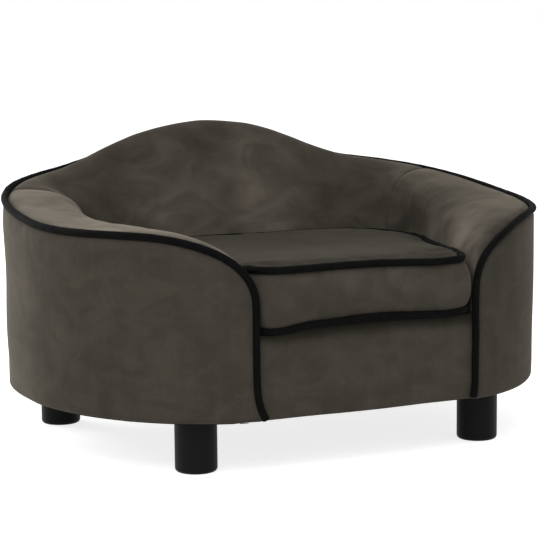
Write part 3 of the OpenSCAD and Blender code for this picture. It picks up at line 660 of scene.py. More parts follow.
def velvet_nap(n, given):
    """Velvet's pile: brushed patches, hand smudges and streaks, with the fine tufts of the pile, lifted by the given
    level of nap and painted light.
    """
    place = given["Place"]
    patch = n.step(n.noise(place, given["Patch Scale"], 2.0, 0.5, 0.3), 0.30, 0.70)
    smudge = n.step(n.noise(n.stretched(place, (1.0, 1.0, 1.6)), 17.0, 2.5, 0.5, 1.0), 0.30, 0.72)
    streak = n.noise(n.stretched(place, (1.0, 1.0, 0.10)), 80.0, 3.0, 0.6)
    mottle = n.noise(place, 150.0, 4.0, 0.65)
    tuft = n.noise(place, 900.0, 2.0, 0.6)
    broad = n.plus(n.swing(patch, given["Patches"]), n.swing(smudge, n.times(given["Patches"], 0.6)))
    fine = n.plus(n.swing(mottle, 0.17), n.swing(tuft, 0.14))
    mask = n.plus(broad, n.plus(n.swing(streak, given["Streaks"]), fine))
    swirled = n.times(given["Brushed"], n.plus(0.80, n.times(smudge, 0.4)))
    mask = n.plus(mask, swirled, clamp=True)
    return {"Color": n.blend(mask, given["Dark"], given["Light"]), "Roughness": n.less(0.95, n.times(mask, 0.18)),
            "Height": n.plus(n.times(tuft, 0.7), n.times(smudge, 0.3))}


def cloth_weave(n, given):
    """Threads of a woven cloth, laid along metres of cloth."""
    turned = n.add("VectorRotate", {"rotation_type": "Z_AXIS"}, Vector=given["Metres"], Angle=given["Turn"])
    threads = n.add("VectorMath", {"operation": "SCALE"}, i0=turned.outputs[0], Scale=given["Threads"])
    x, y = n.parts(threads.outputs[0])[:2]
    warp, weft = (n.math("ABSOLUTE", n.math("SINE", n.times(c, math.pi))) for c in (x, y))
    over = n.math("SINE", n.times(n.plus(n.math("FLOOR", x), n.math("FLOOR", y)), math.pi / 2))
    side = n.math("GREATER_THAN", n.math("ABSOLUTE", over), 0.5)
    height = n.add("Mix", {"data_type": "FLOAT"}, i0=side, i2=warp, i3=weft).outputs[0]
    return {"Mask": n.step(height, 0.1, 0.8), "Height": height}


def wood_grain(n, given):
    """Wood grain along X: growth lines, pores and a change of tone."""
    lines = n.noise(n.stretched(given["Place"], (1.5, 22.0, 22.0)), given["Lines"], 4.0, 0.55, 0.4)
    pores = n.noise(n.stretched(given["Place"], (12.0, 260.0, 260.0)), 6.0, 2.0, 0.6)
    tone = n.noise(given["Place"], 5.0)
    mask = n.plus(n.times(n.step(lines, 0.35, 0.65), 0.6), n.times(tone, 0.35))
    mask = n.plus(mask, n.times(n.step(pores, 0.62, 0.75), 0.25), clamp=True)
    return {"Color": n.blend(mask, given["Pale"], given["Dark"]), "Height": n.less(lines, n.times(pores, 0.4))}


def surface_wear(n, given):
    """Fine scuffs and a light haze on hard pieces."""
    place, scale = given["Place"], given["Scale"]
    haze = n.noise(place, scale, 5.0, 0.6)
    scuff = n.noise(n.stretched(place, (1.0, 1.0, 0.15)), n.times(scale, 9.0), 2.0, 0.7)
    mask = n.times(n.step(haze, 0.35, 0.75), n.step(scuff, 0.45, 0.8))
    return {"Mask": n.times(mask, given["Amount"], clamp=True), "Height": n.noise(place, n.times(scale, 30.0))}


# Each shared group with the kinds of its inputs and outputs
SHARED_GROUPS = {
    velvet_nap: ({"Place": "Vector", "Dark": "Color", "Light": "Color", "Brushed": "Float", "Patch Scale": "Float",
                  "Patches": "Float", "Streaks": "Float"},
                 {"Color": "Color", "Roughness": "Float", "Height": "Float"}),
    cloth_weave: ({"Metres": "Vector", "Threads": "Float", "Turn": "Float"}, {"Mask": "Float", "Height": "Float"}),
    wood_grain: ({"Place": "Vector", "Pale": "Color", "Dark": "Color", "Lines": "Float"},
                 {"Color": "Color", "Height": "Float"}),
    surface_wear: ({"Place": "Vector", "Scale": "Float", "Amount": "Float"}, {"Mask": "Float", "Height": "Float"}),
}


def shared_group(fill):
    """The shader group that a function fills, made at its first use."""
    name = fill.__name__
    if name not in bpy.data.node_groups:
        tree = bpy.data.node_groups.new(name, "ShaderNodeTree")
        for way, sockets in zip(("INPUT", "OUTPUT"), SHARED_GROUPS[fill]):
            for label, kind in sockets.items():
                tree.interface.new_socket(label, in_out=way, socket_type="NodeSocket" + kind)
        n, end = Nodes(tree), tree.nodes.new("NodeGroupOutput")
        for label, value in fill(n, tree.nodes.new("NodeGroupInput").outputs).items():
            n.feed(end, label, value)
    return bpy.data.node_groups[name]


def scaled(tint, factor):
    """A colour made lighter or darker."""
    return tuple(min(1.0, c * factor) for c in tint)


class Finish:
    """Makes each finish once and hands it out by name."""

    PREFIX = "sofa_"
    WHITE, GLOW = (1.0, 1.0, 1.0), 0.78
    WORN_METAL, WORN_ROUGH = 0.3, 0.25
    # How light each velvet's pile is, set apart piece by piece to match their brightness, so partly painted light and
    # shade, and what its marks and sheen are
    VELVETS = {
        "velvet_outside": {"brushed": 0.22},
        "velvet_front": {"brushed": 0.28, "painted": True},
        "velvet_back": {"patch_scale": 7.0, "patches": 0.14, "streaks": 0.08, "sheen": 0.25, "painted": True},
        "velvet_arm": {"patch_scale": 11.0, "patches": 0.24, "streaks": 0.08, "sheen": 0.34, "painted": True},
        "velvet_cushion": {"brushed": 0.32, "patches": 0.08},
        # The seat's velvet is darkest: its pile lies the other way, and its darkness is partly a painted shade over
        # the cushion's top
        "velvet_seat": {"brushed": 0.07, "patches": 0.08, "streaks": 0.05, "sheen": 0.06},
    }
    # Colour and its share, roughness, metal, scale and amount of the wear, share where worn, gloss
    HARD = {
        "zinc": ("steel", 1.0, 0.34, 1.0, 90.0, 0.8, 0.6, 0.5),
        "black_zinc": ("steel", 0.06, 0.55, 0.6, 90.0, 0.5, 0.12, 0.2),
        "leg_plastic": ("leg", 1.0, 0.50, 0.0, 30.0, 0.5, 1.5, 0.08),
        "zip_plastic": ("leg", 0.9, 0.38, 0.0, 120.0, 0.5, 1.8, 0.5),
    }

    def __init__(self, scene):
        self.colours = scene.sofa_colours

    def get(self, name):
        """The finish of this name, made at its first use. The prefix keeps it apart from the frame's own."""
        made = bpy.data.materials.get(self.PREFIX + name)
        if made:
            return made
        if name in self.VELVETS:
            return self.velvet(name, **self.VELVETS[name])
        if name in self.HARD:
            return self.hard(name, *self.HARD[name])
        return getattr(self, name)()

    def start(self, name, **constants):
        """Nodes of a new material, whose plain values are set on its shader's own sockets."""
        made = bpy.data.materials.new(self.PREFIX + name)
        made.use_nodes = True
        n = Nodes(made.node_tree)
        n.material, n.shader = made, made.node_tree.nodes["Principled BSDF"]
        for key, value in constants.items():
            n.feed(n.shader, key.replace("_", " "), value)
        return n

    def end(self, n, tint, roughness, height, distance, strength):
        """The material, once its shader is fed what changes over the surface."""
        n.feed(n.shader, "Base Color", tint)
        n.feed(n.shader, "Roughness", roughness)
        n.feed(n.shader, "Normal", n.bump(height, distance, strength))
        return n.material

    def velvet(self, name, brushed=0.0, patch_scale=6.0, patches=0.07, streaks=0.14, sheen=0.20, painted=False):
        c = self.colours
        n = self.start(name, Sheen_Weight=sheen, Sheen_Roughness=0.42, Sheen_Tint=scaled(c.velvet_light, 4.2),
                       Specular_IOR_Level=0.12)
        # The painted attribute brings each piece's nap patches and its painted light and painted shade.
        if painted:
            brushed = n.plus(n.add("Attribute", {"attribute_name": "brushed"}).outputs["Fac"], brushed)
        nap = n.group(velvet_nap, Place=n.place(), Dark=c.velvet, Light=c.velvet_light, Brushed=brushed,
                      Patch_Scale=patch_scale, Patches=patches, Streaks=streaks)
        return self.end(n, nap["Color"], nap["Roughness"], nap["Height"], 0.0004, 0.5)

    def welt_cloth(self):
        n, welt = self.start("welt_cloth", Specular_IOR_Level=0.06), self.colours.welt
        metres = n.add("TexCoord").outputs["UV"]
        weave = n.group(cloth_weave, Metres=metres, Threads=1300.0, Turn=0.785)
        fold = n.noise(n.stretched(metres, (90.0, 260.0, 1.0)), 1.0, 3.0, 0.6, 0.8)
        tint = n.blend(weave["Mask"], scaled(welt, 0.6), scaled(welt, 1.25))
        tint = n.blend(n.step(fold, 0.35, 0.7, 0.0, 0.35), tint, scaled(welt, 1.9))
        height = n.plus(n.times(weave["Height"], 0.25), fold)
        return self.end(n, tint, n.step(fold, 0.3, 0.7, 0.92, 0.78), height, 0.0009, 0.8)

    def zip_cloth(self):
        n, welt = self.start("zip_cloth", Specular_IOR_Level=0.2), self.colours.welt
        place = n.add("Mapping", Vector=n.place(), Rotation=(math.pi / 2, 0, 0)).outputs[0]
        weave = n.group(cloth_weave, Metres=place, Threads=1500.0, Turn=0.0)
        tint = n.blend(weave["Mask"], scaled(welt, 0.7), scaled(welt, 1.7))
        return self.end(n, tint, n.step(weave["Mask"], 0.0, 1.0, 0.95, 0.8), weave["Height"], 0.0003, 0.7)

    def dust_cloth(self):
        n, dust = self.start("dust_cloth", Specular_IOR_Level=0.2), self.colours.dust
        fibre = n.noise(n.place(), 420.0, 3.0, 0.7)
        tint = n.blend(n.step(fibre, 0.35, 0.7), scaled(dust, 0.7), scaled(dust, 1.8))
        height = n.plus(n.cells(n.place(), 650.0), fibre)
        return self.end(n, tint, n.step(fibre, 0.3, 0.7, 0.95, 0.80), height, 0.0003, 0.7)

    def foam(self):
        n, foam = self.start("foam", Specular_IOR_Level=0.2), self.colours.foam
        cells, age = n.cells(n.place(), 520.0), n.noise(n.place(), 14.0, 3.0)
        tint = n.blend(n.step(age, 0.35, 0.75), foam, scaled(foam, 0.80))
        tint = n.blend(n.step(cells, 0.15, 0.6, 0.0, 0.35), tint, scaled(foam, 0.6))
        return self.end(n, tint, n.step(cells, 0.1, 0.6, 0.85, 0.98), cells, 0.0008, 0.6)

    def plywood(self):
        return self.wood("plywood", self.colours.ply, 3.0, plies=0.0015)

    def pine(self):
        return self.wood("pine", self.colours.pine, 2.0)

    def wood(self, name, tint, lines, plies=0.0):
        """Wood with its grain along X, and the edges of its layers where it has plies of that thickness."""
        n = self.start(name, Specular_IOR_Level=0.35)
        place = n.place()
        grain = n.group(wood_grain, Place=place, Pale=tint, Dark=scaled(tint, 0.55), Lines=lines)
        shade, height = grain["Color"], grain["Height"]
        if plies:
            layer = n.step(n.math("PINGPONG", n.parts(place)[2], plies), plies * 0.45, plies * 0.6)
            facing = n.parts(n.add("NewGeometry").outputs["Normal"])[2]
            dark = n.times(layer, n.step(n.math("ABSOLUTE", facing), 0.3, 0.7, 1.0, 0.0))
            shade = n.blend(n.times(dark, 0.55), shade, scaled(tint, 0.42))
        return self.end(n, shade, n.step(height, 0.2, 0.8, 0.58, 0.75), height, 0.0003, 0.5)

    def hard(self, name, colour_name, tint_share, rough, metal, scale, amount, worn_share, gloss):
        """A hard finish whose gloss and tone vary with fine wear. Plastics stay without metal all over."""
        n, tint = self.start(name, Specular_IOR_Level=gloss), getattr(self.colours, colour_name)
        wear = n.group(surface_wear, Place=n.place(), Scale=scale, Amount=amount)
        if metal:
            n.feed(n.shader, "Metallic", n.less(metal, n.times(wear["Mask"], metal * self.WORN_METAL)))
        shade = n.blend(wear["Mask"], scaled(tint, tint_share), scaled(tint, worn_share))
        return self.end(n, shade, n.plus(rough, n.times(wear["Mask"], self.WORN_ROUGH)), wear["Height"], 0.0002, 0.25)

    def floor(self):
        """White floor that keeps the sofa's shadow; what looks at it directly sees it white."""
        n = self.start("floor")
        n.tree.nodes.clear()
        tint = n.blend(n.step(n.noise(n.place(), 40.0, 3.0), 0.3, 0.7), (0.80, 0.80, 0.80), (0.84, 0.84, 0.84))
        matt = n.add("BsdfDiffuse", Color=tint).outputs[0]
        glow = n.add("Emission", Color=self.WHITE, Strength=n.times(n.seen(), self.GLOW)).outputs[0]
        n.add("OutputMaterial", Surface=n.add("AddShader", i0=matt, i1=glow).outputs[0])
        return n.material


# Operators: one for each piece or group of like pieces


def finish_node(name, material):
    """Gives a solid of the frame its finish."""
    slots = frame["nodes"][name].data.materials
    slots.clear()
    slots.append(material)


QUARTER = np.radians(np.linspace(0, 90, 9))


def bottom_edge(lines):
    """Depth and height of a cover's flange and its rounded bottom edge."""
    w = lines.w
    flat = np.stack([np.linspace(w.flange_w, w.edge_r, 4)[:-1], np.full(3, lines.flange_z)], axis=1)
    bend = np.stack([w.edge_r * (1 - np.sin(QUARTER)), lines.flange_z + w.edge_r * (1 - np.cos(QUARTER))], axis=1)
    return np.concatenate([flat, bend])


class SOFA_OT_outer_cover(Operator):
    """Velvet round the outside of the arms and the back"""

    bl_idname = "sofa.outer_cover"
    bl_label = "Outer cover"

    COLUMNS, ROWS, ROW_POWER = 300, 60, 1.25
    LEAN_FADE, SEAM_REACH, SEAM_DEPTH, SEAM_POWER = 0.060, 0.007, 0.0014, 2.2
    PUFF, PUFF_WAVE, PUFF_FADE = 0.0013, 0.16, 0.03
    PUCKER, PUCKER_WAVE, PUCKER_REACH, PUCKER_START, PUCKER_FADE = 0.0003, 0.021, 0.010, 0.002, 0.01
    TAPER, TAPER_HEIGHT, TAPER_START, TAPER_RUN, DEEPEST = 0.0018, 0.13, 0.04, 0.12, 0.0017
    SEWN_RUN, SEWN_DEPTH, SEWN_RISE = 0.002, 0.0048, 0.0018

    def chain(self, lines, top):
        """Levels of one column: flange, rounded bottom edge, up to the welt and in behind it."""
        low, t = bottom_edge(lines), np.linspace(0, 1, self.ROWS)[1:]
        up = np.stack([np.zeros_like(t), mix(low[-1, 1], top, 1 - (1 - t) ** self.ROW_POWER)], axis=1)
        return np.concatenate([low, up, [[self.SEWN_DEPTH, top + self.SEWN_RISE]]])

    def grid(self, lines):
        w = lines.w
        u = lines.station(np.linspace(0, 1, self.COLUMNS + 1))
        u = np.concatenate([[w.seam_x + self.SEWN_RUN, lines.cover_start], lines.cover_start + BY_SEAM,
                            u[u > u[0] + SEAM_ZONE]])
        tops = lines.under_welt(u, lines.cover_edge)
        chain = np.stack([self.chain(lines, top) for top in tops])
        z = chain[..., 1]
        fade = 1 - rise(u, lines.cover_start, self.LEAN_FADE)
        lean = u[:, None] - w.seam_turn * lines.seam_bend(z) * fade[:, None]
        to_top, to_seam = tops[:, None] - z, (u - lines.cover_start)[:, None] + 0 * z
        near = np.maximum(0, np.minimum(to_top, to_seam))
        tuck = self.SEAM_DEPTH * np.clip(1 - near / self.SEAM_REACH, 0, 1) ** self.SEAM_POWER
        tuck[0] = self.SEWN_DEPTH - np.minimum(chain[0, :, 0], self.SEWN_DEPTH)
        tuck[:, -1] = 0
        upright = rise(z, lines.flange_z, self.PUFF_FADE) * smooth(near / self.PUFF_FADE)
        at = spots(u[:, None], z)
        swell = self.PUFF * upright * ripple(at, self.PUFF_WAVE, 3)
        pucker = self.PUCKER * np.exp(-near / self.PUCKER_REACH) * smooth(near / self.PUCKER_START)
        pucker = pucker * ripple(at * [1, 0.25], self.PUCKER_WAVE, 4) * rise(z, lines.flange_z, self.PUCKER_FADE)
        taper = self.TAPER * (1 - rise(z, lines.flange_z, self.TAPER_HEIGHT))
        taper = taper * rise(u[:, None] - w.seam_x, self.TAPER_START, self.TAPER_RUN)
        inner = chain[..., 0] + tuck + np.minimum(self.DEEPEST, taper - swell) - pucker
        flat = lines.wall.at(lean) + lines.wall.left(lean, lines.sight) * inner[..., None]
        return np.concatenate([flat, z[..., None]], axis=-1)

    def execute(self, context):
        lines, finish = SofaLines(context.scene), Finish(context.scene)
        grid = lines.skewed(both_sides(self.grid(lines)))
        cover = make_cloth("outer_velvet", grid, lines.w.cover_t, finish.get("velvet_outside"), "root",
                           "velvet_outside")
        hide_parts("outer_cover")
        wide = 2 * (lines.half_l - lines.w.seam_x)
        declare_sheet(cover, wide, lines.w.back_h - lines.w.leg_h + lines.w.flange_w)
        return {"FINISHED"}


ROLL_IN, ROLL_REACH = 0.0058, 0.022


def rolled_in(z, top):
    """How far the front panel's top edge rolls in under the cushion, at each height."""
    s = np.clip((z - top + ROLL_REACH) / ROLL_REACH, 0, 1)
    return ROLL_IN * (1 - np.sqrt(1 - s * s))


class SOFA_OT_front_cover(Operator):
    """Velvet of the front panel between the two front seams"""

    bl_idname = "sofa.front_cover"
    bl_label = "Front cover"

    COLUMNS, UPRIGHT_ROWS = 120, 30
    BEHIND, PAD_T, RAIL_T = 0.002, 0.006, 0.015
    BOW, SAG, SOFT_REACH, LOW_FADE, TOP_FADE = 0.0022, 0.0010, 0.13, 0.03, 0.02
    SWELL, SWELL_WAVE, SWELL_FADE = 0.0008, 0.14, 0.02
    SHADE, SHADE_START, SHADE_REACH = 0.27, 0.022, 0.018

    def execute(self, context):
        lines, finish = SofaLines(context.scene), Finish(context.scene)
        w, top = lines.w, lines.c.deck_h
        lip = w.cover_t + w.gap
        tuck = w.cover_t + w.gap + self.PAD_T + w.gap + self.RAIL_T
        bend = QUARTER[1:]
        levels = np.concatenate([
            bottom_edge(lines),
            np.stack([np.zeros(self.UPRIGHT_ROWS), np.linspace(
                lines.flange_z + w.edge_r, top - lip, self.UPRIGHT_ROWS + 1)[1:]], axis=1),
            np.stack([lip * (1 - np.cos(bend)), top - lip * (1 - np.sin(bend))], axis=1),
            [[tuck * 0.5, top], [tuck, top]]])
        levels[:-2, 0] += rolled_in(levels[:-2, 1], top)
        half = w.seam_x + self.BEHIND - w.seam_turn * lines.seam_bend(levels[:, 1])
        across = np.linspace(-1, 1, self.COLUMNS + 1)[:, None]
        x = across * half
        near = np.maximum(0, (1 - np.abs(across)) * half - self.BEHIND - lines.welt_r)
        z = levels[:, 1] + 0 * x
        off_floor, off_top = rise(z, lines.flange_z, self.LOW_FADE), smooth((top - z) / self.TOP_FADE)
        swell = self.SWELL * (off_floor * off_top) * smooth(near / self.SWELL_FADE)
        swell = swell * ripple(spots(x, z), self.SWELL_WAVE, 11)
        middle = smooth(near / self.SOFT_REACH)
        y = lines.front_y + w.front_set + levels[:, 0] - swell - self.BOW * middle * off_top
        z = z - self.SAG * middle * (1 - off_floor)
        grid = lines.skewed(np.stack([x, y, z], axis=-1))
        cover = make_cloth("front_velvet", grid, w.cover_t, finish.get("velvet_front"), "root", "velvet_outside")
        # Painted shade: the panel's top is painted darker under the cushion's overhang
        paint(cover, "brushed", -self.SHADE * smooth((grid[..., 2] - top + self.SHADE_START) / self.SHADE_REACH))
        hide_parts("front_cover")
        declare_sheet(cover, 2 * w.seam_x, run_of(levels)[-1])
        return {"FINISHED"}


BY_SEAM, SEAM_ZONE = np.array([0.0002, 0.0006, 0.0012, 0.0020, 0.0032, 0.0046]), 0.006
TURN_R, DIP, DIP_REACH, DIP_TOP = 0.0022, 0.0016, 0.014, 0.04
FACE_WAVES, FACE_TOP, FACE_FOOT, FACE_SIDE = ((0.0011, 0.13), (0.0003, 0.045)), 0.12, 0.15, 0.05
SEWN_IN, SEWN_LOW, FRONT_SEWN_IN = 0.7, 0.45, 0.5
FRONT_RUN = np.concatenate([[0.0], np.linspace(0.02, 1, 400) ** 2])
JOIN_STEPS = (0.0, 0.25, 0.5, 0.75)


def pad_detail(grid, to_seam, seed):
    """Softens a padded face: shallow waves, and edges turned in along the seam with its neighbour."""
    v = np.linspace(0, 1, grid.shape[1])[None]
    to_seam = to_seam[:, None]
    middle = smooth(v / FACE_TOP) * smooth((1 - v) / FACE_FOOT) * smooth(to_seam / FACE_SIDE)
    wave = sum(size * middle * ripple(grid, long, seed + k) for k, (size, long) in enumerate(FACE_WAVES))
    left = np.clip(1 - to_seam / TURN_R, 0, 1)
    turned = TURN_R * (1 - np.sqrt(1 - left * left))
    dip = DIP * np.clip(1 - to_seam / DIP_REACH, 0, 1) ** 2
    return grid + normals_of(grid) * (wave - (turned + dip) * smooth(v / DIP_TOP))[..., None]


def sewn_row(lines, grid, u):
    """Adds the edge that is sewn in behind the welt, ahead of a padded face's first row."""
    flat = lines.inset(u, lines.welt_in + lines.welt_r * SEWN_IN)
    edge = np.concatenate([flat, (lines.rim(u) - lines.welt_r * SEWN_LOW)[:, None]], axis=1)
    return np.concatenate([edge[:, None], grid], axis=1)


def sewn_front(lines, grid):
    """Adds the columns that join a padded face to the welt of the front seam."""
    first = grid[0]
    run = lines.w.seam_x + FRONT_RUN * lines.w.roll_l
    line_z = np.concatenate([[lines.w.roll_h], lines.rim(run[1:])])
    at = np.interp(first[:, 2], line_z, run) - lines.w.seam_turn * lines.seam_bend(first[:, 2])
    edge = lines.inset(at, lines.welt_in + lines.welt_r * FRONT_SEWN_IN)
    edge = np.concatenate([edge, first[:, 2:]], axis=1)
    steps = [mix(edge, first, t) for t in JOIN_STEPS]
    return np.concatenate([steps, grid])


def paint(obj, name, values):
    """Stores one value per point on a piece, for its finish."""
    layer = obj.data.attributes.new(name, "FLOAT", "POINT")
    full = np.zeros(len(obj.data.vertices), np.float32)
    values = np.asarray(values, np.float32).ravel()
    full[: len(values)] = values
    full[len(values): 2 * len(values)] = values[: max(0, len(full) - len(values))]
    layer.data.foreach_set("value", full)


def face_shares(lines, u, rows, joins=0):
    """Share along the wall and share down the section, at each point of a padded face."""
    along = np.concatenate([np.zeros(joins), lines.share_of(u)])
    return along[:, None], np.concatenate([[0.0], np.linspace(0, 1, rows)])[None]


def spot(along, down, at, size):
    """A soft spot from 1 at its middle to 0, on shares along and down a face."""
    return np.exp(-((along - at[0]) / size[0]) ** 2 - ((down - at[1]) / size[1]) ** 2)


class SOFA_OT_arm_covers(Operator):
    """Velvet on the two arms, from the welt over the padding to the deck"""

    bl_idname = "sofa.arm_covers"
    bl_label = "Arm covers"

    COLUMNS, ROWS, FIRST = 230, 90, 0.012
    BRUSHED = {
        "right": (((0.115, 0.52), (0.060, 0.15), 0.85), ((0.0, 0.28), (0.035, 0.18), 0.50),
                  ((0.19, 0.40), (0.06, 0.13), 0.15)),
        "left": (((0.16, 0.12), (0.14, 0.20), 0.15), ((0.53, 0.12), (0.06, 0.14), 0.12)),
    }
    # Base level, nap marks, and how much lighter the faces that turn up are painted on each arm: partly brushed pile,
    # partly a painted light from above
    BASE, MARKS, FLAT, FLAT_MARK = 0.12, ((0.11, 0.045), (0.06, 0.016)), (0.35, 0.5), {"right": 0.06, "left": 0.68}
    CLOTH_SPARE = 1.02

    def execute(self, context):
        lines, finish = SofaLines(context.scene), Finish(context.scene)
        end = lines.split - lines.w.gap / 2
        u = lines.station(np.linspace(self.FIRST, 1, self.COLUMNS + 1))
        u = np.concatenate([u[u < end - SEAM_ZONE], (end - BY_SEAM)[::-1], [end]])
        along, down = face_shares(lines, u, self.ROWS, len(JOIN_STEPS))
        for side, seed in (("right", 21), ("left", 24)):
            grid = sewn_row(lines, pad_detail(lines.pad_grid(u, self.ROWS), lines.split - u, seed), u)
            rows = sewn_front(lines, grid)
            marks = sum(size * ripple(rows, wide, seed + 5 + k) for k, (size, wide) in enumerate(self.MARKS))
            for at, size, level in self.BRUSHED[side]:
                marks = marks + level * spot(along, down, at, size)
            if side == "left":
                rows, marks = other_side(rows), marks[::-1]
            rows = lines.skewed(rows)
            cover = make_cloth(f"{side}_arm_velvet", rows, lines.w.cover_t, finish.get("velvet_arm"), "root",
                               "velvet_inside")
            # Painted light: faces that turn up are painted lighter, on top of the pile's own brushing
            level = rise(normals_of(rows)[..., 2], *self.FLAT)
            paint(cover, "brushed", level * self.FLAT_MARK[side] + marks + self.BASE)
            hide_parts(f"{side}_arm_cover")
            declare_sheet(cover, u[-1] - u[0], float(run_of(grid[-1])[-1]) * self.CLOTH_SPARE)
        return {"FINISHED"}


class SOFA_OT_back_cover(Operator):
    """Velvet on the inside of the back, from the welt to the deck"""

    bl_idname = "sofa.back_cover"
    bl_label = "Inner back cover"

    COLUMNS, ROWS, CLOTH_SPARE = 110, 90, 1.01
    BASE, MARK, MARK_WAVE = 0.19, 0.07, 0.05
    LOW, LOW_DOWN, LOW_ALONG = 0.40, (0.15, 0.45), (0.74, 0.14)
    RIGHT, RIGHT_DOWN, RIGHT_ALONG, RIGHT_END = 0.20, (0.08, 0.15), (0.80, 0.10), (0.93, 0.05)
    # A painted shade along the crease under the back's roll
    CREASE, CREASE_DOWN, CREASE_ALONG = 0.13, (0.075, 0.03), (0.72, 0.06)

    def execute(self, context):
        lines, finish = SofaLines(context.scene), Finish(context.scene)
        start = lines.split + lines.w.gap / 2
        u = np.linspace(start, lines.half_l, self.COLUMNS + 1)
        u = np.concatenate([[start], start + BY_SEAM, u[u > start + SEAM_ZONE]])
        to_seam = np.concatenate([u, u[-2::-1]]) - lines.split
        grid = pad_detail(both_sides(lines.pad_grid(u, self.ROWS)), to_seam, 31)
        edge = both_sides(sewn_row(lines, lines.pad_grid(u, self.ROWS), u)[:, :1])
        grid = np.concatenate([edge, grid], axis=1)
        cover = make_cloth("back_velvet", grid, lines.w.cover_t, finish.get("velvet_back"), "root", "velvet_inside")
        along, down = face_shares(lines, u, self.ROWS)
        along = np.concatenate([along, along[-2::-1]])
        low = rise(down, *self.LOW_DOWN) * rise(along, *self.LOW_ALONG)
        right = rise(down, *self.RIGHT_DOWN) * rise(along, *self.RIGHT_ALONG) * (grid[..., 0] > 0)
        right = right * (1 - rise(along, *self.RIGHT_END))
        # Painted lighter low in the middle and on the right; painted shade in the crease under the roll
        line = np.exp(-((down - self.CREASE_DOWN[0]) / self.CREASE_DOWN[1]) ** 2)
        crease_shade = self.CREASE * line * rise(along, *self.CREASE_ALONG)
        marks = self.MARK * ripple(grid, self.MARK_WAVE, 36)
        paint(cover, "brushed", self.BASE + self.LOW * low + self.RIGHT * right - crease_shade + marks)
        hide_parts("back_inner_cover")
        wide, deep = 2 * (lines.half_l - lines.split), float(run_of(grid[self.COLUMNS])[-1]) * self.CLOTH_SPARE
        declare_sheet(cover, wide, deep)
        return {"FINISHED"}


class SOFA_OT_padding(Operator):
    """Foam under the arm, back and front covers"""

    bl_idname = "sofa.padding"
    bl_label = "Foam padding"

    ROWS, SET_BACK, FILL = 26, 0.004, 0.85
    ARM_COLUMNS, ARM_POWER, BACK_COLUMNS = 70, 1.3, 50
    PAD_COLUMNS, PAD_ROWS, PAD_IN, PAD_ROLL, PAD_WAVE, PAD_WAVE_L = 40, 20, 0.0002, 0.0052, 0.0001, 0.05

    def block(self, lines, u):
        sink = lines.w.cover_t + lines.w.gap + self.SET_BACK
        face = lines.pad_grid(u, self.ROWS, sink)
        t = np.linspace(0, 1, self.ROWS)
        core = lines.inset(u, lines.p.foam_depth)
        z = mix(face[:, 0, 2][:, None], face[:, -1, 2][:, None], t)
        back = np.concatenate([np.repeat(core[:, None], self.ROWS, axis=1), z[..., None]], axis=-1)
        return face, back

    def execute(self, context):
        lines, finish = SofaLines(context.scene), Finish(context.scene)
        foam, gap = finish.get("foam"), lines.w.gap
        low, high = lines.station(lines.FIRST_SHARE), lines.split - gap / 2
        arm_u = mix(low, high, np.linspace(0, 1, self.ARM_COLUMNS) ** self.ARM_POWER)
        face, back = self.block(lines, arm_u)
        pieces = [("right_arm_padding", face, back, "right_arm_foam"),
                  ("left_arm_padding", other_side(face), other_side(back), "left_arm_foam")]
        face, back = self.block(lines, np.linspace(lines.split + gap / 2, lines.half_l, self.BACK_COLUMNS))
        pieces.append(("back_padding", both_sides(face), both_sides(back), "back_foam"))
        for name, front, rear, node in pieces:
            made = make_block(name, front, rear, foam, "root", "foam")
            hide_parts(node)
        box_low, box_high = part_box("front_pad")
        x, z = np.meshgrid(np.linspace(box_low.x, box_high.x, self.PAD_COLUMNS),
                           np.linspace(box_low.z, box_high.z, self.PAD_ROWS), indexing="ij")
        swell = self.PAD_WAVE * ripple(spots(x, z), self.PAD_WAVE_L, 41)
        roll = np.minimum(self.PAD_ROLL, rolled_in(z, lines.c.deck_h))
        front = np.stack([x, box_low.y + self.PAD_IN + swell + roll, z], axis=-1)
        rear = np.stack([x, box_high.y + 0 * x, z], axis=-1)
        made = make_block("front_padding", front, rear, foam, "root", "foam")
        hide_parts("front_pad")
        return {"FINISHED"}


